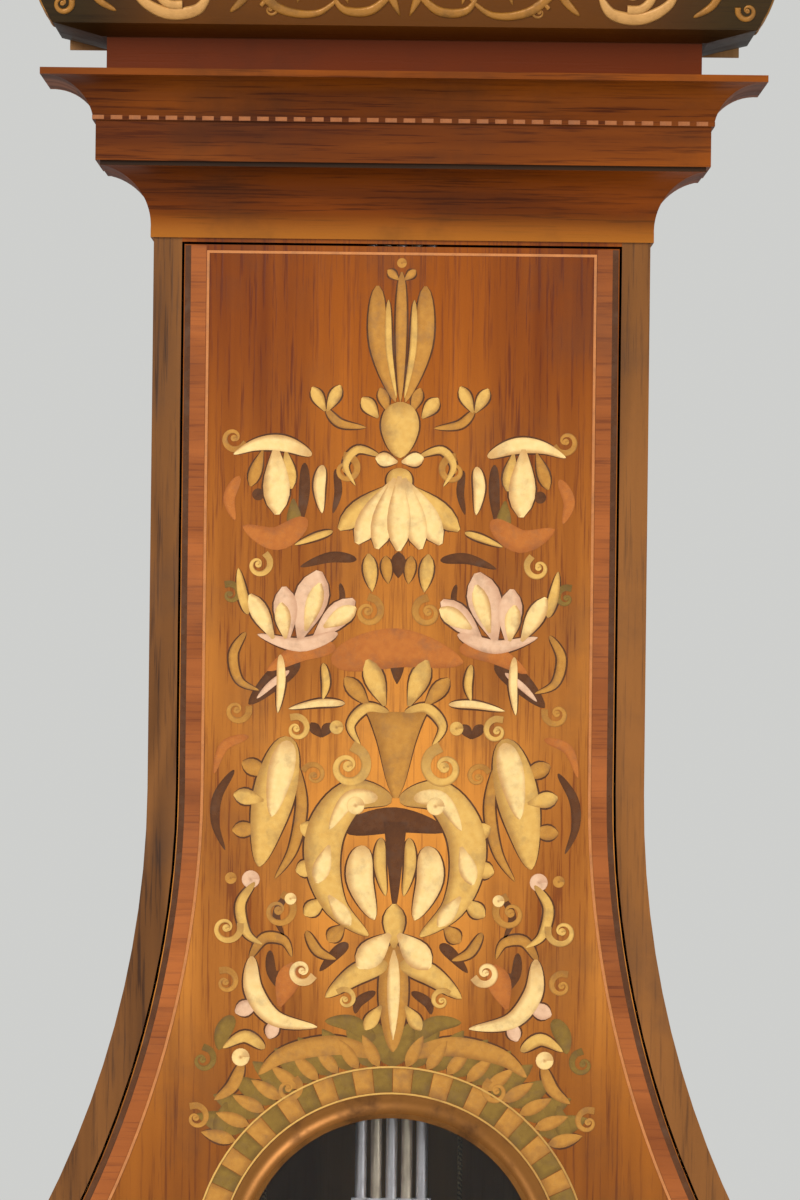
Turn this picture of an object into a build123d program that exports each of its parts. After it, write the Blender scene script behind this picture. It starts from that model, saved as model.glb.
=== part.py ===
from build123d import *
import math
import os

os.makedirs("parts", exist_ok=True)

# Weight-driven longcase clock with a violin-shaped trunk, in millimetres.
# X runs to the viewer's right, the front faces -Y, Z runs up from the floor.

# Case: depths
BACK_Y = 140.0
BACKBOARD = 10.0
FRAME_FRONT = -66.0
FRAME_THICK = 22.0
DOOR_THICK = 20.0

# Case: the outline of the trunk, from its narrow top down to its foot
TRUNK_HALF = 149.0
SHOULDER_DROP = 430.0
SHOULDER_RADIUS = 571.0
SHOULDER_TURN = 26.5
BELLY_UPPER_RADIUS = 303.0
BELLY_LOWER_RADIUS = 450.0
HIP_TURN = 20.0
FOOT_RADIUS = 700.0
SIDE_THICK = 16.0
STILE_WIDTH = 17.0
TRUNK_HEIGHT = 1290.0
CHEEK_HEIGHT = 96.0

# Case: base
PLINTH_HALF = 205.0
PLINTH_HEIGHT = 560.0
PLINTH_BOARD = 18.0
PLINTH_SHELF = 16.0
SKIRTING_HEIGHT = 100.0
SKIRTING_THICK = 14.0
BASE_MOULDING_HEIGHT = 44.0
BASE_OVERHANG = 8.0
BACKBOARD_LIFT = 20.0
SCREW_HALF = 60.0
SCREW_Z = 1700.0
SCREW_RADIUS = 3.0

# Case: mouldings under the hood
THROAT_HEIGHT = 45.0
FRIEZE_HEIGHT = 27.0
CAVETTO_HEIGHT = 27.0
THROAT_OUT = 30.0
FRIEZE_OUT = 35.0
LIP_OUT = 68.0
LIP_THICK = 4.0

# Trunk door and its round window
DOOR_FOOT = 108.0
DOOR_HEAD = 4.0
DOOR_GAP = 1.5
WINDOW_LIFT = 50.0
WINDOW_RADIUS = 88.0
BEZEL_FLANGE = 14.0
BEZEL_SLEEVE = 8.0
BEZEL_WALL = 2.5
BEZEL_RISE = 3.5
GLASS_SEAT = 4.0
GLASS_THICK = 2.5
GLASS_CROWN = 4.5
HINGE_INSET = 14.8
HINGE_OFFSET = 4.5
HINGE_PITCH = 104.0
HINGE_DROP = 22.0
HINGE_LENGTH = 44.0
KNUCKLE_RADIUS = 4.0
PIN_RADIUS = 2.0
LEAF_THICK = 1.5
LEAF_WIDTH = 21.0
STILE_LEAF_WIDTH = 5.5
HOOD_LEAF_WIDTH = 16.0
LOCK_INSET = 35.8
LOCK_DROP = 20.0
LOCK_DEPTH = 12.0
LOCK_HEIGHT = 56.0
LOCK_WIDTH = 27.0
LOCK_REACH = 13.0
LOCK_FOOT = 24.0
KEYHOLE_CLEAR = 0.7
BOLT_LENGTH = 24.0
BOLT_HEIGHT = 8.0
BOLT_THICK = 5.0
BOLT_RISE = 13.0
BOLT_THROW = 12.0
BOLT_CLEAR = 0.2
KEY_RADIUS = 2.5
KEY_BIT = 8.0
KEY_BOW = 11.0

# Hood
HOOD_INNER = 181.0
HOOD_NECK_INNER = 164.0
HOOD_HALF = 205.0
HOOD_BASE_HEIGHT = 92.0
HOOD_SIDE_THICK = 14.0
HOOD_WALL = 308.0
ROOF_RISE = 110.0
HOOD_ROOF_THICK = 12.0
HOOD_FRONT_THICK = 14.0
HOOD_DOOR_THICK = 18.0
HOOD_DOOR_RAIL = 29.0
HOOD_DOOR_GAP = 2.0
HOOD_GLASS_LAP = 3.0
REBATE_DEPTH = 10.0
CROWN_HEIGHT = 18.0
CROWN_DEPTH = 18.0
CROWN_OUT = 14.0
CROWN_FOOT = 22.0
CROWN_END = 8.0
MASK_Y = -92.0
MASK_THICK = 6.0
MASK_HALF = 128.0
MASK_SILL = 30.0
CATCH_INSET = 15.0
CATCH_REACH = 24.0
CATCH_KNOB = 7.0
NECK_OUT = 14.0
NECK_HEIGHT = 20.0
BULGE_OUT = 60.0

# Dial and movement: places are measured from the centre of the dial
DIAL_LIFT = 121.0
ARCH_LIFT = 75.0
DIAL_RADIUS = 118.0
DIAL_FRONT = -84.5
DIAL_THICK = 3.5
DIAL_CROWN = 3.5
FOOT_DROP = 85.0
FOOT_RISE = 60.0
DIAL_FOOT_RADIUS = 3.0
WINDING_HOLE = 6.0
SQUARE = 6.0
SURROUND_HALF = 134.0
SURROUND_THICK = 1.5
SURROUND_LAP = 6.0
SEAT_THICK = 18.0
ROD_SLOT = 40.0
CAGE_HALF = 134.0
CAGE_FRONT = -12.0
CAGE_BACK = 102.0
CAGE_PLATE = 4.0
CAGE_HEIGHT = 228.0
PILLAR = 10.0
STRAP_THICK = 5.0
STRAP_FRONT = -10.0
STRAP_BACK = 100.0
ARBOR_RADIUS = 2.5
RUNNING = 0.05
CLEAR = 0.3

# Gear trains: teeth, modules and planes
GREAT_TEETH = 72
PINION_LEAVES = 6
GREAT_MODULE = 1.73
CENTRE_TEETH = 48
PIN_TEETH = 48
THIRD_TEETH = 43
TRAIN_MODULE = 1.4
STOP_TEETH = 45
STOP_MODULE = 1.25
WHEEL_THICK = 2.5
GREAT_THICK = 4.0
PINION_LENGTH = 8.0
MESH_LAP = 2.0
BARREL_X = 56.0
BARREL_RADIUS = 15.0
BARREL_FLANGE = 20.0
BARREL_FRONT = 12.0
BARREL_BACK = 70.0
GOING_GREAT_Y = 80.0
STRIKE_GREAT_Y = 88.0
SECOND_WHEEL_Y = 62.5
THIRD_WHEEL_Y = 42.5
STOP_WHEEL_Y = 46.5
PIN_ARBOR_X = -68.0
STOP_ARBOR_DX = 20.0
FLY_ARBOR_DX = -30.0
FLY_RADIUS = 18.0
FLY_FRONT = 8.0
FLY_BACK = 32.0
FLY_THICK = 1.2
PIN_CIRCLE = 28.0
PIN_LENGTH = 6.0
PIN_COUNT = 8

# Escapement and pendulum
ESCAPE_TEETH = 30
ESCAPE_RADIUS = 24.0
ESCAPE_DEPTH = 6.0
ESCAPE_Y = 24.5
ANCHOR_RISE = 91.0
PENDULUM_LENGTH = 1090.0
PENDULUM_Y = -28.0
ROD_THICK = 3.0
ROD_WIDTH = 8.0
STIRRUP_INNER = 13.0
GRID_TOP_DROP = 290.0
GRID_GAP = 7.0
GRID_PITCH = 9.0
GRID_RADIUS = 3.5
BRIDGE_HEIGHT = 8.0
BRIDGE_DEPTH = 8.0
BOB_RADIUS = 73.0
BOB_THICK = 24.0
BOB_EDGE = 3.0
RATING_RADIUS = 3.0
RATING_TAIL = 26.0
NUT_RADIUS = 9.0
NUT_HEIGHT = 8.0
CRUTCH_DROP = 52.0

# Motion work and hands
CANNON_TEETH = 12
MINUTE_WHEEL_TEETH = 36
MINUTE_PINION_TEETH = 10
HOUR_TEETH = 40
MOTION_DISTANCE = 24.0
CANNON_BACK = -47.0
CANNON_FRONT = -97.0
CANNON_RADIUS = 4.0
HOUR_PIPE_RADIUS = 6.0
HOUR_PIPE_FRONT = -91.0
MINUTE_HAND_LENGTH = 100.0
HOUR_HAND_LENGTH = 68.0
HAND_THICK = 1.5
BRIDGE_FRONT = -44.0
BRIDGE_HALF = 33.0
BRIDGE_FOOT = 28.0

# Weights and their lines
LINE_RADIUS = 1.5
LINE_Y = 44.0
LINE_SLOT = 7.0
WEIGHT_RADIUS = 32.0
WEIGHT_HEIGHT = 230.0
WEIGHT_BOTTOM = 620.0
EYE_HEIGHT = 25.0

# Striking
BELL_RADIUS = 55.0
BELL_THICK = 3.0
BELL_Y = 60.0
BELL_LIFT = 12.0
HAMMER_X = -112.0
HAMMER_RISE = 16.0
HAMMER_PLANE = 108.0
HAMMER_ROD = 2.5
HAMMER_GAP = 3.5
HAMMER_TAIL = 12.0
HAMMER_HEAD = 20.0
HAMMER_HEAD_RADIUS = 8.0

# Sizes that follow from the ones above
PLINTH_TOP = PLINTH_HEIGHT
TRUNK_TOP = PLINTH_TOP + TRUNK_HEIGHT
SHOULDER_Z = TRUNK_TOP - SHOULDER_DROP
CAVETTO_BOTTOM = TRUNK_TOP - CAVETTO_HEIGHT
FRIEZE_BOTTOM = CAVETTO_BOTTOM - FRIEZE_HEIGHT
THROAT_BOTTOM = FRIEZE_BOTTOM - THROAT_HEIGHT
DOOR_BOTTOM = PLINTH_TOP + DOOR_FOOT
DOOR_TOP = THROAT_BOTTOM - DOOR_HEAD
CHEEK_TOP = TRUNK_TOP + CHEEK_HEIGHT
NECK_TOP = TRUNK_TOP + NECK_HEIGHT
HOOD_BASE_TOP = TRUNK_TOP + HOOD_BASE_HEIGHT
HOOD_SHOULDER = HOOD_BASE_TOP + HOOD_WALL
HOOD_TOP = HOOD_SHOULDER + ROOF_RISE
BACKBOARD_FRONT = BACK_Y - BACKBOARD
FRAME_BACK = FRAME_FRONT + FRAME_THICK
DOOR_BACK = FRAME_FRONT + DOOR_THICK
TURN = math.radians(SHOULDER_TURN)
HIP = math.radians(HIP_TURN)
BELLY_HALF = TRUNK_HALF + (SHOULDER_RADIUS + BELLY_UPPER_RADIUS) * (1 - math.cos(TURN))
BELLY_Z = SHOULDER_Z - (SHOULDER_RADIUS + BELLY_UPPER_RADIUS) * math.sin(TURN)
HINGE_X = BELLY_HALF - HINGE_INSET
HINGE_LOW = BELLY_Z - HINGE_PITCH / 2 - HINGE_DROP
HINGE_HEIGHTS = (HINGE_LOW, HINGE_LOW + HINGE_PITCH)
LOCK_X = LOCK_INSET - BELLY_HALF
LOCK_Z = BELLY_Z - LOCK_DROP
FOOT_HALF = BELLY_HALF - (BELLY_LOWER_RADIUS + FOOT_RADIUS) * (1 - math.cos(HIP))
PLINTH_FRONT = FRAME_FRONT - (PLINTH_HALF - FOOT_HALF)
HOOD_FRONT = FRAME_FRONT - (HOOD_HALF - TRUNK_HALF)
HOOD_BASE_WIDE = HOOD_HALF - HOOD_NECK_INNER
HOOD_BASE_FRONT = HOOD_FRONT + HOOD_BASE_WIDE
ROOF_RADIUS = (HOOD_HALF**2 + ROOF_RISE**2) / (2 * ROOF_RISE)
ROOF_Z = HOOD_TOP - ROOF_RADIUS
HOOD_DOOR_HALF = HOOD_INNER - HOOD_DOOR_GAP
HOOD_HINGE_X = HOOD_INNER
SEAT_TOP = CHEEK_TOP + SEAT_THICK
DIAL_Z = SEAT_TOP + DIAL_LIFT
ARCH_Z = DIAL_Z + ARCH_LIFT
CAGE_TOP = SEAT_TOP + CAGE_HEIGHT
SUSPENSION_Z = DIAL_Z + ANCHOR_RISE
BOB_Z = SUSPENSION_Z - PENDULUM_LENGTH
WINDOW_Z = BOB_Z + WINDOW_LIFT

GREAT_DISTANCE = GREAT_MODULE * (GREAT_TEETH + PINION_LEAVES) / 2
SECOND_DISTANCE = TRAIN_MODULE * (CENTRE_TEETH + PINION_LEAVES) / 2
THIRD_DISTANCE = TRAIN_MODULE * (THIRD_TEETH + PINION_LEAVES) / 2
STOP_DISTANCE = STOP_MODULE * (STOP_TEETH + PINION_LEAVES) / 2
ESCAPE_DROP = ESCAPE_RADIUS * math.sqrt(2)
ESCAPE_RISE = ANCHOR_RISE - ESCAPE_DROP

# Arbor centres as (x, z) from the middle of the dial
CENTRE = (0.0, DIAL_Z)
BARREL_Z = DIAL_Z - math.sqrt(GREAT_DISTANCE**2 - BARREL_X**2)
GOING_BARREL = (BARREL_X, BARREL_Z)
STRIKE_BARREL = (-BARREL_X, BARREL_Z)
THIRD_RISE = (ESCAPE_RISE**2 + SECOND_DISTANCE**2 - THIRD_DISTANCE**2) / (2 * ESCAPE_RISE)
THIRD = (math.sqrt(SECOND_DISTANCE**2 - THIRD_RISE**2), DIAL_Z + THIRD_RISE)
ESCAPE = (0.0, DIAL_Z + ESCAPE_RISE)
ANCHOR = (0.0, SUSPENSION_Z)
PIN_DX = PIN_ARBOR_X + BARREL_X
PIN_ARBOR = (PIN_ARBOR_X, BARREL_Z + math.sqrt(GREAT_DISTANCE**2 - PIN_DX**2))
STOP_ARBOR = (
    PIN_ARBOR_X + STOP_ARBOR_DX,
    PIN_ARBOR[1] + math.sqrt(SECOND_DISTANCE**2 - STOP_ARBOR_DX**2),
)
FLY_ARBOR = (
    STOP_ARBOR[0] + FLY_ARBOR_DX,
    STOP_ARBOR[1] + math.sqrt(STOP_DISTANCE**2 - FLY_ARBOR_DX**2),
)
HAMMER = (HAMMER_X, DIAL_Z + HAMMER_RISE)
MINUTE_STUD = (0.0, DIAL_Z - MOTION_DISTANCE)
STRAPS = ((-118.0, -106.0), (-86.0, -38.0), (-32.0, 32.0), (46.0, 66.0))
LINE_OFFSET = BARREL_RADIUS + LINE_RADIUS + CLEAR
GOING_LINE_X = BARREL_X - LINE_OFFSET
STRIKE_LINE_X = -BARREL_X - LINE_OFFSET

# Tooth forms: addendum, dedendum, thickness at the pitch line and at the tip
WHEEL_FORM = (0.8, 1.1, 0.42, 0.16)
PINION_FORM = (0.7, 1.2, 0.34, 0.16)


def save(part, name):
    """Label a finished piece and write it as its own STEP file."""
    part.label = name
    export_step(part, f"parts/{name}.step")


def facing(y):
    """The upright plane at depth y: its normal points to the front."""
    return Plane.XZ.offset(-y)


def rod(centre, back, front, radius, mode=Mode.ADD):
    """A round bar or bore along Y, from back to front."""
    with BuildSketch(facing(back)) as section:
        with Locations(centre):
            Circle(radius)
    extrude(section.sketch, amount=back - front, mode=mode)


def plate(x_range, y_range, z_range, mode=Mode.ADD):
    """A square-edged board between three pairs of limits."""
    with BuildSketch(Plane.XY.offset(z_range[0])) as section:
        with Locations(((x_range[0] + x_range[1]) / 2, (y_range[0] + y_range[1]) / 2)):
            Rectangle(x_range[1] - x_range[0], y_range[1] - y_range[0])
    extrude(section.sketch, amount=z_range[1] - z_range[0], mode=mode)


def trunk_edge(inset, bottom, top):
    """The right-hand edge of the trunk, offset inwards, and its two ends."""
    straight = Line((TRUNK_HALF - inset, top), (TRUNK_HALF - inset, SHOULDER_Z))
    shoulder = JernArc(straight @ 1, (0, -1), SHOULDER_RADIUS + inset, SHOULDER_TURN)
    upper = JernArc(shoulder @ 1, shoulder % 1, BELLY_UPPER_RADIUS - inset, -SHOULDER_TURN)
    lower = JernArc(upper @ 1, upper % 1, BELLY_LOWER_RADIUS - inset, -HIP_TURN)
    hip = JernArc(lower @ 1, lower % 1, FOOT_RADIUS + inset, HIP_TURN)
    Line(hip @ 1, (FOOT_HALF - inset, bottom))
    return (TRUNK_HALF - inset, top), (FOOT_HALF - inset, bottom)


def trunk_face(inset, bottom, top):
    """The full width of the trunk's outline between two heights."""
    with BuildLine() as outline:
        high, low = trunk_edge(inset, PLINTH_TOP, CHEEK_TOP)
        Line(low, (0, low[1]))
        Line(high, (0, high[1]))
        mirror(about=Plane.YZ)
    make_face(outline.edges())
    with Locations((0, (bottom + top) / 2)):
        Rectangle(2 * BELLY_HALF + 2, top - bottom, mode=Mode.INTERSECT)


def trunk_strips(inset, width, bottom, top):
    """The two curved strips that lie along the trunk's edges."""
    trunk_face(inset, bottom, top)
    with BuildSketch(mode=Mode.PRIVATE) as middle:
        trunk_face(inset + width, bottom, top)
    add(middle.sketch, mode=Mode.SUBTRACT)


def arched_face(half, bottom, spring):
    """An upright opening with a half-round head."""
    with Locations((0, (bottom + spring) / 2)):
        Rectangle(2 * half, spring - bottom)
    with Locations((0, spring)):
        Circle(half)


def moulding(half, front, back, profile):
    """A moulding mitred round the front and both sides of the case.

    The profile is drawn in (projection, height) by the function given.
    """
    with BuildPart() as run:
        with BuildLine() as path:
            Polyline((half, back), (half, front), (-half, front), (-half, back))
        with BuildSketch(Plane(origin=(half, back, 0), x_dir=(1, 0, 0), z_dir=(0, -1, 0))):
            with BuildLine():
                profile()
            make_face()
        sweep(path=path.line, transition=Transition.RIGHT)
    return run.part


def tooth_ring(teeth, module, form, phase):
    """Corner points of a toothed outline, one tooth centred on the phase angle."""
    addendum, dedendum, at_pitch, at_tip = form
    radius = teeth * module / 2
    root_r = radius - dedendum * module
    tip_r = radius + addendum * module
    at_root = at_pitch + (at_pitch - at_tip) * dedendum / addendum
    pitch = 2 * math.pi / teeth
    points = []
    for k in range(teeth):
        for r, share in ((root_r, -at_root), (tip_r, -at_tip), (tip_r, at_tip), (root_r, at_root)):
            angle = phase + (k + share / 2) * pitch
            points.append((r * math.cos(angle), r * math.sin(angle)))
    return points


def wheel(centre, back, thick, teeth, module, phase, arms=4):
    """A clock wheel with crossed-out arms, on the arbor at the centre."""
    root = teeth * module / 2 - WHEEL_FORM[1] * module
    rim = root - 2.2 * module
    hub = 3 * ARBOR_RADIUS
    with BuildSketch(facing(back)) as blank:
        with Locations(centre):
            Polygon(*tooth_ring(teeth, module, WHEEL_FORM, phase), align=None)
            Circle(rim, mode=Mode.SUBTRACT)
            Circle(hub)
            with PolarLocations((rim + hub) / 2, arms):
                Rectangle(rim - hub + 2, 1.6 * module + 2)
    extrude(blank.sketch, amount=thick)


def pinion(centre, back, length, teeth, module, phase):
    """A solid pinion on the arbor at the centre."""
    with BuildSketch(facing(back)) as leaves:
        with Locations(centre):
            Polygon(*tooth_ring(teeth, module, PINION_FORM, phase), align=None)
    extrude(leaves.sketch, amount=length)


def meshed(phase, teeth, centre, other_teeth, other_centre):
    """Phase of the other gear, so that its gap faces the first gear's tooth."""
    line = math.atan2(other_centre[1] - centre[1], other_centre[0] - centre[0])
    return line + math.pi + math.pi / other_teeth - (phase - line) * teeth / other_teeth


# Base: plinth boards, skirting, shelf and the moulding at the foot of the trunk
def plinth_profile():
    Polyline((0, 0), (PLINTH_BOARD, 0), (PLINTH_BOARD, PLINTH_TOP), (0, PLINTH_TOP), close=True)


def skirting_profile():
    bead = SKIRTING_THICK - 4
    Polyline(
        (0, SKIRTING_HEIGHT), (0, 0), (SKIRTING_THICK, 0), (SKIRTING_THICK, SKIRTING_HEIGHT - 16)
    )
    RadiusArc((SKIRTING_THICK, SKIRTING_HEIGHT - 16), (SKIRTING_THICK - bead, SKIRTING_HEIGHT - 4),
              SKIRTING_THICK)
    Polyline((SKIRTING_THICK - bead, SKIRTING_HEIGHT - 4), (SKIRTING_THICK - bead, SKIRTING_HEIGHT),
             (0, SKIRTING_HEIGHT))


def base_profile():
    reach = PLINTH_HALF - FOOT_HALF + BASE_OVERHANG
    top = PLINTH_TOP + BASE_MOULDING_HEIGHT
    Polyline((6, top - 6), (6, top), (0, top), (0, PLINTH_TOP), (reach, PLINTH_TOP),
             (reach, PLINTH_TOP + 8))
    RadiusArc((reach, PLINTH_TOP + 8), (6, top - 6), 42)


PLINTH_INNER = PLINTH_HALF - PLINTH_BOARD
save(moulding(PLINTH_INNER, PLINTH_FRONT + PLINTH_BOARD, BACK_Y, plinth_profile), "plinth")
save(moulding(PLINTH_HALF, PLINTH_FRONT, BACK_Y, skirting_profile), "skirting")
save(moulding(FOOT_HALF, FRAME_FRONT, BACK_Y, base_profile), "base_moulding")

with BuildPart() as plinth_shelf:
    plate((-PLINTH_INNER, PLINTH_INNER), (PLINTH_FRONT + PLINTH_BOARD, BACKBOARD_FRONT),
          (PLINTH_TOP - PLINTH_SHELF, PLINTH_TOP))
save(plinth_shelf.part, "plinth_shelf")

# Trunk: backboard, curved sides and the frame round the door
with BuildPart() as backboard:
    with BuildSketch(facing(BACK_Y)):
        trunk_face(0, PLINTH_TOP, TRUNK_TOP)
        with Locations((0, (BACKBOARD_LIFT + PLINTH_TOP) / 2)):
            Rectangle(2 * PLINTH_INNER, PLINTH_TOP - BACKBOARD_LIFT)
    extrude(amount=BACKBOARD)
    with BuildSketch(facing(BACK_Y)):
        with Locations((0, ROOF_Z)):
            Circle(ROOF_RADIUS)
        with Locations((0, (NECK_TOP + HOOD_TOP) / 2)):
            Rectangle(2 * HOOD_HALF, HOOD_TOP - NECK_TOP, mode=Mode.INTERSECT)
        with Locations((0, (NECK_TOP + HOOD_SHOULDER) / 2)):
            Rectangle(2 * HOOD_HALF, HOOD_SHOULDER - NECK_TOP)
        with Locations((0, (TRUNK_TOP + NECK_TOP) / 2)):
            Rectangle(2 * (HOOD_NECK_INNER + NECK_OUT), NECK_HEIGHT)
    extrude(amount=BACKBOARD)
    for x in (-SCREW_HALF, SCREW_HALF):
        rod((x, SCREW_Z), BACK_Y, BACKBOARD_FRONT, SCREW_RADIUS, mode=Mode.SUBTRACT)
save(backboard.part, "backboard")

LOCK_LEFT = LOCK_X - LOCK_REACH
BOLT_Y = DOOR_BACK + 3.0 + BOLT_THICK / 2
BOLT_Z = LOCK_Z + BOLT_RISE
with BuildPart() as trunk_sides:
    with BuildSketch(facing(BACKBOARD_FRONT)):
        trunk_strips(0, SIDE_THICK, PLINTH_TOP, CHEEK_TOP)
    extrude(amount=BACKBOARD_FRONT - FRAME_BACK)
    # The mortise that takes the lock's bolt
    plate((LOCK_LEFT - BOLT_THROW - 1, LOCK_LEFT), (FRAME_BACK, BOLT_Y + BOLT_THICK / 2 + 1),
          (BOLT_Z - BOLT_HEIGHT / 2 - 1, BOLT_Z + BOLT_HEIGHT / 2 + 1), mode=Mode.SUBTRACT)
save(trunk_sides.part, "trunk_sides")

with BuildPart() as stiles:
    with BuildSketch(facing(FRAME_BACK)):
        trunk_strips(0, STILE_WIDTH, PLINTH_TOP, TRUNK_TOP)
    extrude(amount=FRAME_THICK)
save(stiles.part, "stiles")

with BuildPart() as frame_rails:
    with BuildSketch(facing(FRAME_BACK)):
        trunk_face(STILE_WIDTH, PLINTH_TOP, TRUNK_TOP)
        with Locations((0, (DOOR_BOTTOM + DOOR_TOP) / 2)):
            Rectangle(2 * BELLY_HALF, DOOR_TOP - DOOR_BOTTOM + 2 * DOOR_GAP, mode=Mode.SUBTRACT)
    extrude(amount=FRAME_THICK)
save(frame_rails.part, "frame_rails")


# Trunk: the hollow throat and the cornice that carries the hood
def throat_profile():
    Polyline((2, THROAT_BOTTOM + 5), (2, THROAT_BOTTOM), (0, THROAT_BOTTOM), (0, FRIEZE_BOTTOM),
             (THROAT_OUT + 2, FRIEZE_BOTTOM), (THROAT_OUT + 2, FRIEZE_BOTTOM - 3),
             (THROAT_OUT, FRIEZE_BOTTOM - 3))
    RadiusArc((THROAT_OUT, FRIEZE_BOTTOM - 3), (2, THROAT_BOTTOM + 5), -36)


def cornice_profile():
    top = TRUNK_TOP
    Polyline((LIP_OUT - 3, top - LIP_THICK), (LIP_OUT, top - LIP_THICK), (LIP_OUT, top), (0, top),
             (0, FRIEZE_BOTTOM), (FRIEZE_OUT, FRIEZE_BOTTOM), (FRIEZE_OUT, CAVETTO_BOTTOM - 3),
             (FRIEZE_OUT + 2, CAVETTO_BOTTOM - 3), (FRIEZE_OUT + 2, CAVETTO_BOTTOM))
    RadiusArc((LIP_OUT - 3, top - LIP_THICK), (FRIEZE_OUT + 2, CAVETTO_BOTTOM), -30)


save(moulding(TRUNK_HALF, FRAME_FRONT, BACK_Y, throat_profile), "throat_moulding")
save(moulding(TRUNK_HALF, FRAME_FRONT, BACK_Y, cornice_profile), "cornice")

with BuildPart() as seat_board:
    plate((-TRUNK_HALF, TRUNK_HALF), (FRAME_BACK, BACKBOARD_FRONT), (CHEEK_TOP, SEAT_TOP))
    plate((-ROD_SLOT, ROD_SLOT), (FRAME_BACK, CAGE_FRONT), (CHEEK_TOP, SEAT_TOP), mode=Mode.SUBTRACT)
    for x in (GOING_LINE_X, STRIKE_LINE_X):
        plate((x - LINE_SLOT, x + LINE_SLOT), (LINE_Y - LINE_SLOT, LINE_Y + LINE_SLOT),
              (CHEEK_TOP, SEAT_TOP), mode=Mode.SUBTRACT)
save(seat_board.part, "seat_board")

# Trunk door
with BuildPart() as trunk_door:
    with BuildSketch(facing(DOOR_BACK)):
        trunk_face(STILE_WIDTH + DOOR_GAP, DOOR_BOTTOM, DOOR_TOP)
        with Locations((0, WINDOW_Z)):
            Circle(WINDOW_RADIUS + BEZEL_SLEEVE, mode=Mode.SUBTRACT)
        with Locations((LOCK_X, LOCK_Z)):
            Circle(KEY_RADIUS + KEYHOLE_CLEAR, mode=Mode.SUBTRACT)
        with Locations((LOCK_X, LOCK_Z - KEY_BIT / 2)):
            Rectangle(3.4, KEY_BIT + 1, mode=Mode.SUBTRACT)
    extrude(amount=DOOR_THICK)
save(trunk_door.part, "trunk_door")

WINDOW_AXIS = Axis((0, 0, WINDOW_Z), (0, 1, 0))
SEAT_Y = FRAME_FRONT + GLASS_SEAT
with BuildPart() as window_bezel:
    with BuildSketch(Plane.XY.offset(WINDOW_Z)):
        with BuildLine():
            outer = WINDOW_RADIUS + BEZEL_FLANGE
            sleeve = WINDOW_RADIUS + BEZEL_SLEEVE
            crest = (WINDOW_RADIUS + 3, FRAME_FRONT - BEZEL_RISE)
            Polyline((WINDOW_RADIUS, SEAT_Y), (WINDOW_RADIUS, FRAME_FRONT - 1), crest)
            RadiusArc(crest, (outer, FRAME_FRONT - 1), BEZEL_FLANGE - 5)
            Polyline((outer, FRAME_FRONT - 1), (outer, FRAME_FRONT), (sleeve, FRAME_FRONT),
                     (sleeve, DOOR_BACK), (sleeve - BEZEL_WALL, DOOR_BACK),
                     (sleeve - BEZEL_WALL, SEAT_Y), (WINDOW_RADIUS, SEAT_Y))
        make_face()
    revolve(axis=WINDOW_AXIS)
save(window_bezel.part, "window_bezel")

with BuildPart() as window_glass:
    with BuildSketch(Plane.XY.offset(WINDOW_Z)):
        with BuildLine():
            edge = WINDOW_RADIUS + BEZEL_SLEEVE - BEZEL_WALL - CLEAR
            clear_r = WINDOW_RADIUS - CLEAR
            Polyline((clear_r, SEAT_Y), (edge, SEAT_Y), (edge, SEAT_Y + GLASS_THICK),
                     (0, SEAT_Y + GLASS_THICK), (0, SEAT_Y - GLASS_CROWN))
            ThreePointArc((0, SEAT_Y - GLASS_CROWN), (clear_r / 2, SEAT_Y - 0.75 * GLASS_CROWN),
                          (clear_r, SEAT_Y))
        make_face()
    revolve(axis=WINDOW_AXIS)
save(window_glass.part, "window_glass")


def hinge_leaf(axis_x, face_y, z_low, spans, inward, bore, width):
    """One half of a butt hinge: a leaf on the face and its knuckles round the axis."""
    side = -1 if inward else 1
    axis = (axis_x, face_y - HINGE_OFFSET)
    near = axis_x + side * (KNUCKLE_RADIUS + CLEAR)
    far = axis_x + side * width
    plate((min(near, far), max(near, far)), (face_y - LEAF_THICK, face_y),
          (z_low, z_low + HINGE_LENGTH))
    for start, end in spans:
        low, high = z_low + start * HINGE_LENGTH, z_low + end * HINGE_LENGTH
        plate((min(axis_x, near), max(axis_x, near)), (face_y - LEAF_THICK, face_y), (low, high))
        with BuildSketch(Plane.XY.offset(low)) as knuckle:
            with Locations(axis):
                Circle(KNUCKLE_RADIUS)
        extrude(knuckle.sketch, amount=high - low)
        if bore:
            with BuildSketch(Plane.XY.offset(low)) as hole:
                with Locations(axis):
                    Circle(PIN_RADIUS + RUNNING)
            extrude(hole.sketch, amount=high - low, mode=Mode.SUBTRACT)


def hinge_pin(axis_x, face_y, z_low):
    """The pin, fast in the fixed knuckles."""
    with BuildSketch(Plane.XY.offset(z_low)) as section:
        with Locations((axis_x, face_y - HINGE_OFFSET)):
            Circle(PIN_RADIUS)
    extrude(section.sketch, amount=HINGE_LENGTH)


MOVING_SPAN = ((0.34, 0.66),)
FIXED_SPANS = ((0.0, 0.335), (0.665, 1.0))
with BuildPart() as stile_hinge_leaves:
    for z in HINGE_HEIGHTS:
        hinge_leaf(HINGE_X, FRAME_FRONT, z, FIXED_SPANS, False, False, STILE_LEAF_WIDTH)
        hinge_pin(HINGE_X, FRAME_FRONT, z)
save(stile_hinge_leaves.part, "stile_hinge_leaves")

with BuildPart() as door_hinge_leaves:
    for z in HINGE_HEIGHTS:
        hinge_leaf(HINGE_X, FRAME_FRONT, z, MOVING_SPAN, True, True, LEAF_WIDTH)
save(door_hinge_leaves.part, "door_hinge_leaves")

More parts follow.
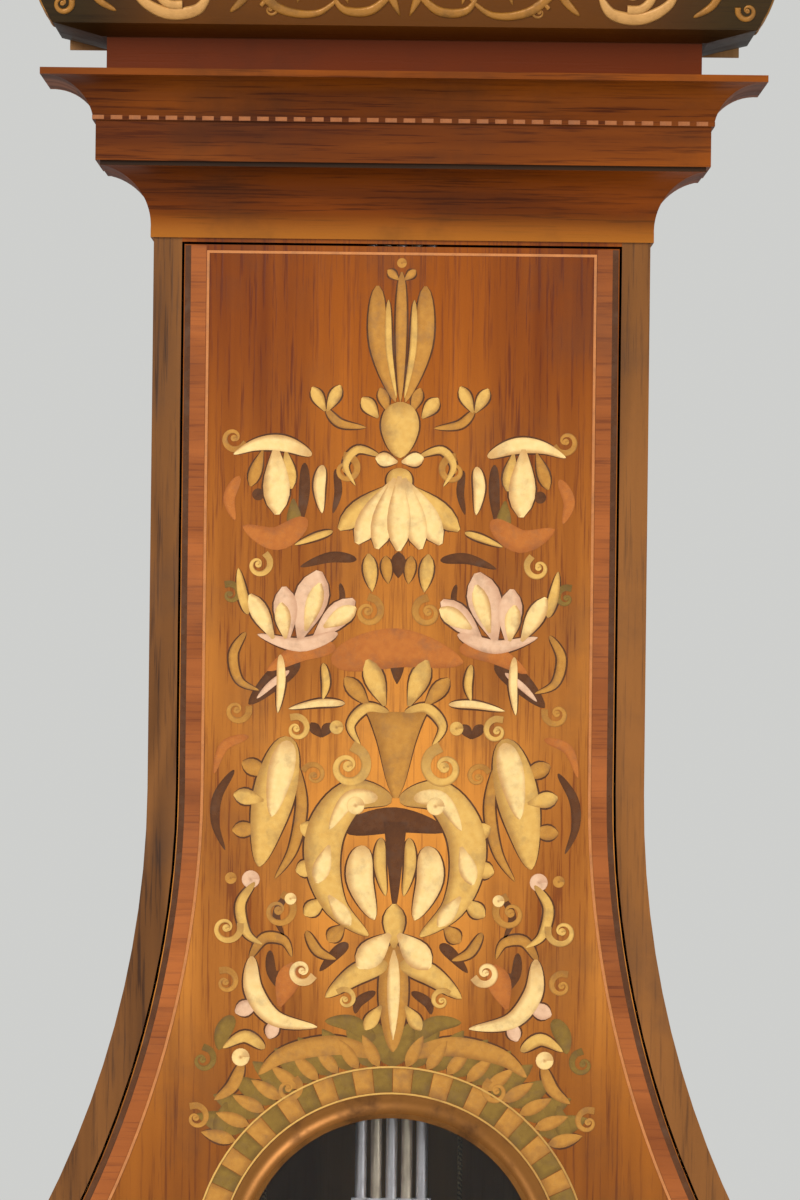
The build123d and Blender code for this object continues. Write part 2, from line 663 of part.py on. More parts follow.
# Lock, bolt, key and escutcheon on the free side of the door
with BuildPart() as escutcheon:
    with BuildSketch(facing(FRAME_FRONT)):
        with Locations((LOCK_X, LOCK_Z - 2)):
            Ellipse(9, 20)
        with Locations((LOCK_X, LOCK_Z)):
            Circle(KEY_RADIUS + KEYHOLE_CLEAR, mode=Mode.SUBTRACT)
        with Locations((LOCK_X, LOCK_Z - KEY_BIT / 2)):
            Rectangle(3.4, KEY_BIT + 1, mode=Mode.SUBTRACT)
    extrude(amount=1.2)
save(escutcheon.part, "escutcheon")

with BuildPart() as door_lock:
    plate((LOCK_LEFT, LOCK_LEFT + LOCK_WIDTH), (DOOR_BACK, DOOR_BACK + LOCK_DEPTH),
          (LOCK_Z - LOCK_FOOT, LOCK_Z - LOCK_FOOT + LOCK_HEIGHT))
    rod((LOCK_X, LOCK_Z), DOOR_BACK + LOCK_DEPTH - 2, DOOR_BACK, KEY_BIT + 1, mode=Mode.SUBTRACT)
    half_y = BOLT_THICK / 2 + BOLT_CLEAR
    half_z = BOLT_HEIGHT / 2 + BOLT_CLEAR
    plate((LOCK_LEFT, LOCK_LEFT + BOLT_LENGTH + 1), (BOLT_Y - half_y, BOLT_Y + half_y),
          (BOLT_Z - half_z, BOLT_Z + half_z), mode=Mode.SUBTRACT)
save(door_lock.part, "door_lock")

with BuildPart() as lock_bolt:
    plate((LOCK_LEFT, LOCK_LEFT + BOLT_LENGTH), (BOLT_Y - BOLT_THICK / 2, BOLT_Y + BOLT_THICK / 2),
          (BOLT_Z - BOLT_HEIGHT / 2, BOLT_Z + BOLT_HEIGHT / 2))
save(lock_bolt.part, "lock_bolt")

with BuildPart() as door_key:
    key_front = FRAME_FRONT - 24
    rod((LOCK_X, LOCK_Z), DOOR_BACK + LOCK_DEPTH - 2.5, key_front, KEY_RADIUS)
    plate((LOCK_X - 1, LOCK_X + 1), (DOOR_BACK + 2, DOOR_BACK + LOCK_DEPTH - 3),
          (LOCK_Z - KEY_BIT, LOCK_Z))
    with BuildSketch(Plane.YZ.offset(LOCK_X - 1.5)):
        with Locations((key_front - KEY_BOW + 2, LOCK_Z)):
            Ellipse(KEY_BOW, KEY_BOW + 3)
            Ellipse(KEY_BOW - 4, KEY_BOW - 1, mode=Mode.SUBTRACT)
    extrude(amount=3)
save(door_key.part, "door_key")


# Hood: bulging base moulding, walls, arched roof and crown
def hood_base_profile():
    top = HOOD_BASE_TOP
    Polyline((NECK_OUT + 3, NECK_TOP), (NECK_OUT, NECK_TOP), (NECK_OUT, TRUNK_TOP), (0, TRUNK_TOP),
             (0, top), (HOOD_BASE_WIDE, top), (HOOD_BASE_WIDE + 2, top - 2))
    ThreePointArc((HOOD_BASE_WIDE + 2, top - 2), (BULGE_OUT - 4, top - 11), (BULGE_OUT, top - 27))
    ThreePointArc((BULGE_OUT, top - 27), (BULGE_OUT - 5, NECK_TOP + 25), (BULGE_OUT - 14, NECK_TOP + 7))
    ThreePointArc((BULGE_OUT - 14, NECK_TOP + 7), (NECK_OUT + 11, NECK_TOP + 2), (NECK_OUT + 3, NECK_TOP))


save(moulding(HOOD_NECK_INNER, HOOD_BASE_FRONT, BACKBOARD_FRONT, hood_base_profile), "hood_base")

WALL_FRONT = HOOD_FRONT + HOOD_FRONT_THICK
with BuildPart() as hood_roof:
    with BuildSketch(facing(BACKBOARD_FRONT)):
        with Locations((0, ROOF_Z)):
            Circle(ROOF_RADIUS)
            Circle(ROOF_RADIUS - HOOD_ROOF_THICK, mode=Mode.SUBTRACT)
        with Locations((0, HOOD_TOP)):
            Rectangle(2 * HOOD_HALF, 2 * ROOF_RISE + 4 * HOOD_SIDE_THICK, mode=Mode.INTERSECT)
    extrude(amount=BACKBOARD_FRONT - WALL_FRONT)
save(hood_roof.part, "hood_roof")

with BuildPart() as hood_sides:
    for side in (-1, 1):
        edges = sorted((side * HOOD_HALF, side * (HOOD_HALF - HOOD_SIDE_THICK)))
        plate(edges, (WALL_FRONT, BACKBOARD_FRONT), (HOOD_BASE_TOP, HOOD_SHOULDER))
    with BuildSketch(facing(BACKBOARD_FRONT)):
        with Locations((0, HOOD_SHOULDER)):
            Rectangle(2 * HOOD_HALF, 4 * HOOD_SIDE_THICK)
        with Locations((0, ROOF_Z)):
            Circle(ROOF_RADIUS - HOOD_ROOF_THICK, mode=Mode.SUBTRACT)
    extrude(amount=BACKBOARD_FRONT - WALL_FRONT, mode=Mode.SUBTRACT)
save(hood_sides.part, "hood_sides")

with BuildPart() as hood_front:
    with BuildSketch(facing(WALL_FRONT)):
        with Locations((0, ROOF_Z)):
            Circle(ROOF_RADIUS)
        with Locations((0, (HOOD_BASE_TOP + HOOD_TOP) / 2)):
            Rectangle(2 * HOOD_HALF, HOOD_TOP - HOOD_BASE_TOP, mode=Mode.INTERSECT)
        with Locations((0, (HOOD_BASE_TOP + HOOD_SHOULDER) / 2)):
            Rectangle(2 * HOOD_HALF, HOOD_SHOULDER - HOOD_BASE_TOP)
        with BuildSketch(mode=Mode.PRIVATE) as opening:
            arched_face(HOOD_INNER, HOOD_BASE_TOP, ARCH_Z)
        add(opening.sketch, mode=Mode.SUBTRACT)
    extrude(amount=HOOD_FRONT_THICK)
save(hood_front.part, "hood_front")

with BuildPart() as hood_crown:
    # The arched run over the front, turned about the centre of the roof
    with BuildSketch(Plane.XY.offset(ROOF_Z)):
        with BuildLine():
            low = ROOF_RADIUS - 6
            high = ROOF_RADIUS + CROWN_HEIGHT
            Polyline((low, HOOD_FRONT - 3), (low, HOOD_FRONT), (ROOF_RADIUS, HOOD_FRONT),
                     (ROOF_RADIUS, HOOD_FRONT + CROWN_DEPTH), (high, HOOD_FRONT + CROWN_DEPTH),
                     (high, HOOD_FRONT - CROWN_OUT), (high - 5, HOOD_FRONT - CROWN_OUT))
            RadiusArc((high - 5, HOOD_FRONT - CROWN_OUT), (low, HOOD_FRONT - 3), -24)
        make_face()
    reach = math.degrees(math.asin(HOOD_HALF / ROOF_RADIUS))
    revolve(axis=Axis((0, 0, ROOF_Z), (0, 1, 0)), revolution_arc=-90 - reach)
    plate((0, 2 * HOOD_HALF), (-2 * BACK_Y, BACK_Y), (0, HOOD_SHOULDER - CROWN_END), mode=Mode.SUBTRACT)
    mirror(about=Plane.YZ)
    split(bisect_by=Plane.XY.offset(HOOD_SHOULDER - CROWN_END), keep=Keep.TOP)
    # The straight runs along both sides
    for side in (-1, 1):
        with BuildSketch(Plane.XZ.offset(-BACKBOARD_FRONT)):
            with BuildLine():
                foot = HOOD_SHOULDER - CROWN_FOOT
                wall = side * HOOD_HALF
                out = side * (HOOD_HALF + CROWN_OUT)
                Polyline((out, HOOD_SHOULDER - 5), (out, HOOD_SHOULDER), (wall, HOOD_SHOULDER),
                         (wall, foot), (wall + side * 4, foot), (out, HOOD_SHOULDER - 5))
            make_face()
        extrude(amount=BACKBOARD_FRONT - HOOD_FRONT - CROWN_DEPTH)
save(hood_crown.part, "hood_crown")

with BuildPart() as dial_mask:
    with BuildSketch(facing(MASK_Y)):
        with Locations((0, ROOF_Z)):
            Circle(ROOF_RADIUS - HOOD_ROOF_THICK - CLEAR)
        inside = HOOD_HALF - HOOD_SIDE_THICK
        with Locations((0, (HOOD_BASE_TOP + HOOD_TOP) / 2)):
            Rectangle(2 * inside, HOOD_TOP - HOOD_BASE_TOP, mode=Mode.INTERSECT)
        with BuildSketch(mode=Mode.PRIVATE) as opening:
            arched_face(MASK_HALF, HOOD_BASE_TOP + MASK_SILL, ARCH_Z)
        add(opening.sketch, mode=Mode.SUBTRACT)
    extrude(amount=MASK_THICK)
save(dial_mask.part, "dial_mask")

# Hood door, its glass, hinges and catch
GLASS_HALF = HOOD_DOOR_HALF - HOOD_DOOR_RAIL
DOOR_SILL = HOOD_BASE_TOP + HOOD_DOOR_GAP
GLASS_SILL = DOOR_SILL + HOOD_DOOR_RAIL - HOOD_GLASS_LAP
HOOD_DOOR_BACK = HOOD_FRONT + HOOD_DOOR_THICK
REBATE_Y = HOOD_FRONT + REBATE_DEPTH
CATCH = (-HOOD_DOOR_HALF + CATCH_INSET, DIAL_Z)
with BuildPart() as hood_door:
    with BuildSketch(facing(HOOD_DOOR_BACK)):
        arched_face(HOOD_DOOR_HALF, DOOR_SILL, ARCH_Z)
        with BuildSketch(mode=Mode.PRIVATE) as opening:
            arched_face(GLASS_HALF, DOOR_SILL + HOOD_DOOR_RAIL, ARCH_Z)
        add(opening.sketch, mode=Mode.SUBTRACT)
    extrude(amount=HOOD_DOOR_THICK)
    with BuildSketch(facing(HOOD_DOOR_BACK)):
        arched_face(GLASS_HALF + HOOD_GLASS_LAP + CLEAR, GLASS_SILL - CLEAR, ARCH_Z)
    extrude(amount=HOOD_DOOR_BACK - REBATE_Y, mode=Mode.SUBTRACT)
    rod(CATCH, HOOD_DOOR_BACK, HOOD_FRONT, ARBOR_RADIUS + RUNNING, mode=Mode.SUBTRACT)
save(hood_door.part, "hood_door")

with BuildPart() as hood_glass:
    with BuildSketch(facing(REBATE_Y + GLASS_THICK)):
        arched_face(GLASS_HALF + HOOD_GLASS_LAP, GLASS_SILL, ARCH_Z)
    extrude(amount=GLASS_THICK)
save(hood_glass.part, "hood_glass")

HOOD_HINGES = (HOOD_BASE_TOP + 40.0, ARCH_Z - 70.0)
with BuildPart() as hood_hinges_fixed:
    for z in HOOD_HINGES:
        hinge_leaf(HOOD_HINGE_X, HOOD_FRONT, z, FIXED_SPANS, False, False, HOOD_LEAF_WIDTH)
        hinge_pin(HOOD_HINGE_X, HOOD_FRONT, z)
save(hood_hinges_fixed.part, "hood_hinges_fixed")

with BuildPart() as hood_hinges_moving:
    for z in HOOD_HINGES:
        hinge_leaf(HOOD_HINGE_X, HOOD_FRONT, z, MOVING_SPAN, True, True, HOOD_LEAF_WIDTH)
save(hood_hinges_moving.part, "hood_hinges_moving")

with BuildPart() as hood_catch:
    rod(CATCH, HOOD_DOOR_BACK + 4, HOOD_FRONT - 8, ARBOR_RADIUS)
    with BuildSketch(Plane.XY.offset(CATCH[1])):
        with Locations((CATCH[0], HOOD_FRONT - 10)):
            Circle(CATCH_KNOB)
        with Locations((CATCH[0] - CATCH_KNOB, HOOD_FRONT - 10)):
            Rectangle(2 * CATCH_KNOB, 3 * CATCH_KNOB, mode=Mode.SUBTRACT)
    revolve(axis=Axis((CATCH[0], 0, CATCH[1]), (0, 1, 0)))
    plate((CATCH[0] - 4, CATCH[0] + 4), (HOOD_DOOR_BACK + 1, HOOD_DOOR_BACK + 4),
          (CATCH[1] - CATCH_REACH, CATCH[1] + 4))
save(hood_catch.part, "hood_catch")

# Movement: iron cage and the straps that carry the pivots
with BuildPart() as cage:
    for z in (SEAT_TOP, CAGE_TOP - CAGE_PLATE):
        plate((-CAGE_HALF, CAGE_HALF), (CAGE_FRONT, CAGE_BACK), (z, z + CAGE_PLATE))
    for x in (-CAGE_HALF + 1, CAGE_HALF - PILLAR - 1):
        for y in (CAGE_FRONT + 1, CAGE_BACK - PILLAR - 1):
            plate((x, x + PILLAR), (y, y + PILLAR), (SEAT_TOP, CAGE_TOP))
    for x in (GOING_LINE_X, STRIKE_LINE_X):
        plate((x - LINE_SLOT, x + LINE_SLOT), (LINE_Y - LINE_SLOT, LINE_Y + LINE_SLOT),
              (SEAT_TOP, SEAT_TOP + CAGE_PLATE), mode=Mode.SUBTRACT)
save(cage.part, "cage")

ARBORS = (GOING_BARREL, STRIKE_BARREL, CENTRE, THIRD, ESCAPE, ANCHOR, PIN_ARBOR, STOP_ARBOR,
          FLY_ARBOR, HAMMER)
with BuildPart() as pivot_straps:
    for y in (STRAP_FRONT, STRAP_BACK - STRAP_THICK):
        for left, right in STRAPS:
            plate((left, right), (y, y + STRAP_THICK),
                  (SEAT_TOP + CAGE_PLATE, CAGE_TOP - CAGE_PLATE))
    for centre in ARBORS:
        rod(centre, STRAP_BACK, STRAP_FRONT, ARBOR_RADIUS + RUNNING, mode=Mode.SUBTRACT)
save(pivot_straps.part, "pivot_straps")

# Phases of the teeth, so that every pair is in mesh at rest
CENTRE_PHASE = 0.0
THIRD_PINION_PHASE = meshed(CENTRE_PHASE, CENTRE_TEETH, CENTRE, PINION_LEAVES, THIRD)
ESCAPE_PINION_PHASE = meshed(0.0, THIRD_TEETH, THIRD, PINION_LEAVES, ESCAPE)
CENTRE_PINION_PHASE = meshed(0.0, GREAT_TEETH, GOING_BARREL, PINION_LEAVES, CENTRE)
PIN_PINION_PHASE = meshed(0.0, GREAT_TEETH, STRIKE_BARREL, PINION_LEAVES, PIN_ARBOR)
STOP_PINION_PHASE = meshed(0.0, PIN_TEETH, PIN_ARBOR, PINION_LEAVES, STOP_ARBOR)
FLY_PINION_PHASE = meshed(0.0, STOP_TEETH, STOP_ARBOR, PINION_LEAVES, FLY_ARBOR)


def barrel(centre, great_y):
    """A drum with flanges and winding square, with its great wheel and arbor."""
    rod(centre, STRAP_BACK, DIAL_FRONT + 2, ARBOR_RADIUS)
    rod(centre, BARREL_BACK, BARREL_FRONT, BARREL_RADIUS)
    for y in (BARREL_BACK, BARREL_FRONT + 3):
        rod(centre, y, y - 3, BARREL_FLANGE)
    rod(centre, great_y - GREAT_THICK, BARREL_BACK, 3 * ARBOR_RADIUS)
    wheel(centre, great_y, GREAT_THICK, GREAT_TEETH, GREAT_MODULE, 0.0)
    with BuildSketch(facing(STRAP_FRONT - 30)) as square:
        with Locations(centre):
            Rectangle(SQUARE, SQUARE)
    extrude(square.sketch, amount=STRAP_FRONT - 30 - DIAL_FRONT + 3)


with BuildPart() as going_barrel:
    barrel(GOING_BARREL, GOING_GREAT_Y)
save(going_barrel.part, "going_barrel")

with BuildPart() as strike_barrel:
    barrel(STRIKE_BARREL, STRIKE_GREAT_Y)
save(strike_barrel.part, "strike_barrel")

with BuildPart() as centre_arbor:
    rod(CENTRE, STRAP_BACK, CANNON_FRONT - 3, ARBOR_RADIUS)
    pinion(CENTRE, GOING_GREAT_Y + MESH_LAP, PINION_LENGTH, PINION_LEAVES, GREAT_MODULE,
           CENTRE_PINION_PHASE)
    wheel(CENTRE, SECOND_WHEEL_Y, WHEEL_THICK, CENTRE_TEETH, TRAIN_MODULE, CENTRE_PHASE)
save(centre_arbor.part, "centre_arbor")

with BuildPart() as third_arbor:
    rod(THIRD, STRAP_BACK, STRAP_FRONT, ARBOR_RADIUS)
    pinion(THIRD, SECOND_WHEEL_Y + MESH_LAP, PINION_LENGTH, PINION_LEAVES, TRAIN_MODULE, THIRD_PINION_PHASE)
    wheel(THIRD, THIRD_WHEEL_Y, WHEEL_THICK, THIRD_TEETH, TRAIN_MODULE, 0.0)
save(third_arbor.part, "third_arbor")


def escape_teeth():
    """Slender teeth that lean a little, each with a root, a tip and a root."""
    root = ESCAPE_RADIUS - ESCAPE_DEPTH
    points = []
    for k in range(ESCAPE_TEETH):
        tip = math.radians(90 + 0.3 + 360 * k / ESCAPE_TEETH)
        for r, lean in ((root, -3.8), (ESCAPE_RADIUS, 0.0), (root, -0.2)):
            angle = tip + math.radians(lean)
            points.append((r * math.cos(angle), r * math.sin(angle)))
    return points


with BuildPart() as escape_wheel:
    rod(ESCAPE, STRAP_BACK, STRAP_FRONT, ARBOR_RADIUS)
    pinion(ESCAPE, THIRD_WHEEL_Y + MESH_LAP, PINION_LENGTH, PINION_LEAVES, TRAIN_MODULE,
           ESCAPE_PINION_PHASE)
    with BuildSketch(facing(ESCAPE_Y)):
        with Locations(ESCAPE):
            Polygon(*escape_teeth(), align=None)
            Circle(ESCAPE_RADIUS - ESCAPE_DEPTH - 3, mode=Mode.SUBTRACT)
            Circle(3 * ARBOR_RADIUS)
            with PolarLocations(11, 4):
                Rectangle(9, 3)
    extrude(amount=WHEEL_THICK)
save(escape_wheel.part, "escape_wheel")

# Anchor: two blades reach down to the wheel at 45 degrees, the crutch hangs in front
with BuildPart() as anchor:
    crutch_y = PENDULUM_Y + 6.0
    rod(ANCHOR, STRAP_BACK, crutch_y, ARBOR_RADIUS)
    blade = (ESCAPE_RADIUS + CLEAR) / math.sqrt(2)
    with BuildSketch(facing(ESCAPE_Y + 1)):
        with Locations(ANCHOR):
            Circle(3 * ARBOR_RADIUS)
        for side in (-1, 1):
            tip = (side * blade, ESCAPE[1] + blade)
            heel = (side * (blade + 5.0), ESCAPE[1] + blade + 5.0)
            along = 0.8 / math.sqrt(2)
            with BuildLine():
                Polyline((tip[0] - side * along, tip[1] + along),
                         (heel[0] - side * along, heel[1] + along), (side * 2.0, SUSPENSION_Z + 5),
                         (side * 2.0, SUSPENSION_Z - 3), (side * (blade - 1.0), heel[1] - 3.0 + along),
                         (tip[0] - side * along, tip[1] + along))
            make_face()
            with BuildLine():
                Polyline((tip[0] - side * along, tip[1] + along),
                         (tip[0] + side * along, tip[1] - along),
                         (heel[0] + side * along, heel[1] - along),
                         (heel[0] - side * along, heel[1] + along),
                         (tip[0] - side * along, tip[1] + along))
            make_face()
    extrude(amount=WHEEL_THICK + 2)
    # Crutch: a flat arm, a cross-piece and two prongs that embrace the rod
    prong = ROD_WIDTH / 2 + 0.4
    plate((-2.5, 2.5), (crutch_y, crutch_y + 3), (SUSPENSION_Z - CRUTCH_DROP, SUSPENSION_Z + 4))
    plate((-prong - 3, prong + 3), (crutch_y, crutch_y + 3),
          (SUSPENSION_Z - CRUTCH_DROP - 4, SUSPENSION_Z - CRUTCH_DROP))
    for side in (-1, 1):
        edges = sorted((side * prong, side * (prong + 3)))
        plate(edges, (PENDULUM_Y - 4, crutch_y),
              (SUSPENSION_Z - CRUTCH_DROP - 4, SUSPENSION_Z - CRUTCH_DROP))
save(anchor.part, "anchor")

# Striking train: pin wheel, stop wheel and fly
with BuildPart() as pin_wheel:
    rod(PIN_ARBOR, STRAP_BACK, STRAP_FRONT, ARBOR_RADIUS)
    pinion(PIN_ARBOR, STRIKE_GREAT_Y + MESH_LAP, PINION_LENGTH, PINION_LEAVES, GREAT_MODULE,
           PIN_PINION_PHASE)
    wheel(PIN_ARBOR, SECOND_WHEEL_Y, WHEEL_THICK, PIN_TEETH, TRAIN_MODULE, 0.0)
    with BuildSketch(facing(SECOND_WHEEL_Y + PIN_LENGTH)):
        with Locations(PIN_ARBOR):
            with PolarLocations(PIN_CIRCLE, PIN_COUNT, start_angle=22.5):
                Circle(1.4)
    extrude(amount=PIN_LENGTH)
save(pin_wheel.part, "pin_wheel")

with BuildPart() as stop_wheel:
    rod(STOP_ARBOR, STRAP_BACK, STRAP_FRONT, ARBOR_RADIUS)
    pinion(STOP_ARBOR, SECOND_WHEEL_Y + MESH_LAP, PINION_LENGTH, PINION_LEAVES, TRAIN_MODULE,
           STOP_PINION_PHASE)
    wheel(STOP_ARBOR, STOP_WHEEL_Y, WHEEL_THICK, STOP_TEETH, STOP_MODULE, 0.0)
save(stop_wheel.part, "stop_wheel")

with BuildPart() as fly:
    rod(FLY_ARBOR, STRAP_BACK, STRAP_FRONT, ARBOR_RADIUS)
    pinion(FLY_ARBOR, STOP_WHEEL_Y + MESH_LAP, PINION_LENGTH, PINION_LEAVES, STOP_MODULE, FLY_PINION_PHASE)
    plate((FLY_ARBOR[0] - FLY_RADIUS, FLY_ARBOR[0] + FLY_RADIUS), (FLY_FRONT, FLY_BACK),
          (FLY_ARBOR[1] - FLY_THICK / 2, FLY_ARBOR[1] + FLY_THICK / 2))
    rod(FLY_ARBOR, FLY_BACK, FLY_FRONT, 4.0)
save(fly.part, "fly")

# Bell on its stand, and the hammer that strikes it
BELL_RIM = CAGE_TOP + BELL_LIFT
with BuildPart() as bell:
    with BuildSketch(Plane.XZ.offset(-BELL_Y)):
        with BuildLine():
            crown = BELL_RIM + 0.75 * BELL_RADIUS
            inner_r = BELL_RADIUS - BELL_THICK
            ThreePointArc((BELL_RADIUS, BELL_RIM), (0.78 * BELL_RADIUS, BELL_RIM + 0.52 * BELL_RADIUS),
                          (0, crown))
            Line((0, crown), (0, crown - BELL_THICK))
            ThreePointArc((0, crown - BELL_THICK), (0.78 * inner_r, BELL_RIM + 0.52 * inner_r),
                          (inner_r, BELL_RIM))
            Line((inner_r, BELL_RIM), (BELL_RADIUS, BELL_RIM))
        make_face()
    revolve(axis=Axis((0, BELL_Y, 0), (0, 0, 1)))
    with BuildSketch(Plane.XY.offset(CAGE_TOP)):
        with Locations((0, BELL_Y)):
            Circle(4)
    extrude(amount=crown + 5 - CAGE_TOP)
save(bell.part, "bell")

with BuildPart() as hammer:
    rod(HAMMER, HAMMER_PLANE, STRAP_FRONT, ARBOR_RADIUS)
    head_x = -BELL_RADIUS - HAMMER_GAP
    head_z = BELL_RIM + 3
    elbow = (head_x - 14, HAMMER_PLANE, head_z)
    with BuildLine() as stem:
        FilletPolyline((HAMMER[0], HAMMER_PLANE, HAMMER[1]), elbow, (head_x - 14, BELL_Y, head_z),
                       radius=12)
    with BuildSketch(Plane(origin=stem.line @ 0, z_dir=stem.line % 0)):
        Circle(HAMMER_ROD)
    sweep(path=stem.line)
    with BuildSketch(Plane.YZ.offset(head_x - HAMMER_HEAD)):
        with Locations((BELL_Y, head_z)):
            Circle(HAMMER_HEAD_RADIUS)
    extrude(amount=HAMMER_HEAD)
    # The tail that the wheel's pins lift
    plate((HAMMER[0], HAMMER[0] + HAMMER_TAIL), (SECOND_WHEEL_Y, SECOND_WHEEL_Y + 5),
          (HAMMER[1] - HAMMER_ROD, HAMMER[1] + HAMMER_ROD))
save(hammer.part, "hammer")

# Dial, its pressed surround and the bridge of the motion work
with BuildPart() as dial:
    dial_back = DIAL_FRONT + DIAL_THICK
    with BuildSketch(Plane.XY.offset(DIAL_Z)):
        with BuildLine():
            hole = HOUR_PIPE_RADIUS + 1
            flat = DIAL_RADIUS - SURROUND_LAP - 2
            Polyline((flat, DIAL_FRONT), (DIAL_RADIUS, DIAL_FRONT), (DIAL_RADIUS, dial_back),
                     (hole, dial_back), (hole, DIAL_FRONT - DIAL_CROWN))
            ThreePointArc((hole, DIAL_FRONT - DIAL_CROWN), (flat / 2, DIAL_FRONT - 0.78 * DIAL_CROWN),
                          (flat, DIAL_FRONT))
        make_face()
    revolve(axis=Axis((0, 0, DIAL_Z), (0, 1, 0)))
    for centre in (GOING_BARREL, STRIKE_BARREL):
        rod(centre, dial_back, DIAL_FRONT - DIAL_CROWN, WINDING_HOLE, mode=Mode.SUBTRACT)
    for x in (-BARREL_X, BARREL_X):
        for z in (DIAL_Z - FOOT_DROP, DIAL_Z + FOOT_RISE):
            rod((x, z), STRAP_FRONT, dial_back - 1, DIAL_FOOT_RADIUS)
save(dial.part, "dial")

with BuildPart() as dial_surround:
    with BuildSketch(facing(DIAL_FRONT)):
        arched_face(SURROUND_HALF, SEAT_TOP + 2, ARCH_Z)
        with Locations((0, DIAL_Z)):
            Circle(DIAL_RADIUS - SURROUND_LAP, mode=Mode.SUBTRACT)
    extrude(amount=SURROUND_THICK)
save(dial_surround.part, "dial_surround")

with BuildPart() as motion_bridge:
    plate((-BRIDGE_HALF, BRIDGE_HALF), (BRIDGE_FRONT, BRIDGE_FRONT + 3),
          (DIAL_Z - BRIDGE_HALF, DIAL_Z + 14))
    rod(CENTRE, BRIDGE_FRONT + 3, BRIDGE_FRONT, ARBOR_RADIUS + 1, mode=Mode.SUBTRACT)
    for x in (-BRIDGE_FOOT, BRIDGE_FOOT):
        rod((x, DIAL_Z - BRIDGE_FOOT), STRAP_FRONT, BRIDGE_FRONT + 3, 3.0)
    rod(MINUTE_STUD, BRIDGE_FRONT, BRIDGE_FRONT - 18, PIN_RADIUS)
save(motion_bridge.part, "motion_bridge")

# Motion work and hands
CANNON_MODULE = 2 * MOTION_DISTANCE / (CANNON_TEETH + MINUTE_WHEEL_TEETH)
HOUR_MODULE = 2 * MOTION_DISTANCE / (MINUTE_PINION_TEETH + HOUR_TEETH)
MINUTE_WHEEL_PHASE = meshed(0.0, CANNON_TEETH, CENTRE, MINUTE_WHEEL_TEETH, MINUTE_STUD)
HOUR_PHASE = meshed(0.0, MINUTE_PINION_TEETH, MINUTE_STUD, HOUR_TEETH, CENTRE)


def hand(y, length, width, hub):
    """A pierced hand that points to twelve, with a ring near its tip."""
    with BuildSketch(facing(y)) as outline:
        with Locations(CENTRE):
            Circle(hub)
            Polygon((-width, 0), (width, 0), (width / 2, 0.66 * length), (-width / 2, 0.66 * length),
                    align=None)
            Polygon((-width, 0), (width, 0), (width, -0.16 * length), (-width, -0.16 * length),
                    align=None)
        with Locations((0, DIAL_Z + 0.72 * length)):
            Circle(0.075 * length)
            Circle(0.045 * length, mode=Mode.SUBTRACT)
        with Locations(CENTRE):
            Polygon((-1.6, 0.78 * length), (1.6, 0.78 * length), (0, length), align=None)
    extrude(outline.sketch, amount=HAND_THICK)


with BuildPart() as minute_hand:
    rod(CENTRE, CANNON_BACK, CANNON_FRONT, CANNON_RADIUS)
    pinion(CENTRE, CANNON_BACK, 5.0, CANNON_TEETH, CANNON_MODULE, 0.0)
    hand(HOUR_PIPE_FRONT - 3, MINUTE_HAND_LENGTH, 2.4, 8.0)
    rod(CENTRE, CANNON_BACK, CANNON_FRONT, ARBOR_RADIUS + RUNNING, mode=Mode.SUBTRACT)
save(minute_hand.part, "minute_hand")

with BuildPart() as minute_wheel:
    pinion(MINUTE_STUD, CANNON_BACK - 1, 13.0, MINUTE_PINION_TEETH, HOUR_MODULE, 0.0)
    with BuildSketch(facing(CANNON_BACK - 1.5)):
        with Locations(MINUTE_STUD):
            Polygon(*tooth_ring(MINUTE_WHEEL_TEETH, CANNON_MODULE, WHEEL_FORM, MINUTE_WHEEL_PHASE),
                    align=None)
    extrude(amount=2)
    rod(MINUTE_STUD, CANNON_BACK - 1, CANNON_BACK - 14, PIN_RADIUS + RUNNING, mode=Mode.SUBTRACT)
save(minute_wheel.part, "minute_wheel")

with BuildPart() as hour_hand:
    rod(CENTRE, CANNON_BACK - 9, HOUR_PIPE_FRONT, HOUR_PIPE_RADIUS)
    with BuildSketch(facing(CANNON_BACK - 9)):
        with Locations(CENTRE):
            Polygon(*tooth_ring(HOUR_TEETH, HOUR_MODULE, WHEEL_FORM, HOUR_PHASE), align=None)
    extrude(amount=2)
    hand(HOUR_PIPE_FRONT + HAND_THICK, HOUR_HAND_LENGTH, 3.2, 9.0)
    rod(CENTRE, CANNON_BACK - 9, HOUR_PIPE_FRONT, CANNON_RADIUS + RUNNING, mode=Mode.SUBTRACT)
save(hour_hand.part, "hour_hand")

# Pendulum: cock and pin, upper rod with its stirrup, gridiron, bob and nut
with BuildPart() as suspension_cock:
    ear = PENDULUM_Y - 9
    plate((-8, 8), (ear, CAGE_FRONT), (CAGE_TOP - CAGE_PLATE, CAGE_TOP))
    plate((-8, 8), (ear, ear + 4), (SUSPENSION_Z - 8, CAGE_TOP))
    rod(ANCHOR, PENDULUM_Y + 3, ear, PIN_RADIUS)
save(suspension_cock.part, "suspension_cock")

GRID_TOP = SUSPENSION_Z - GRID_TOP_DROP
GRID_BOTTOM = BOB_Z + BOB_RADIUS + GRID_GAP + BRIDGE_HEIGHT
ROD_BACK = PENDULUM_Y + ROD_THICK / 2
with BuildPart() as pendulum_rod:
    with BuildSketch(facing(ROD_BACK)):
        with Locations((0, (SUSPENSION_Z + GRID_TOP) / 2)):
            Rectangle(ROD_WIDTH, SUSPENSION_Z - GRID_TOP)
        with Locations(ANCHOR):
            Circle(6)
        with Locations(CENTRE):
            Ellipse(STIRRUP_INNER + 4, STIRRUP_INNER + 8)
            Ellipse(STIRRUP_INNER, STIRRUP_INNER + 4, mode=Mode.SUBTRACT)
        with Locations(ANCHOR):
            Circle(PIN_RADIUS + RUNNING, mode=Mode.SUBTRACT)
    extrude(amount=ROD_THICK)
save(pendulum_rod.part, "pendulum_rod")


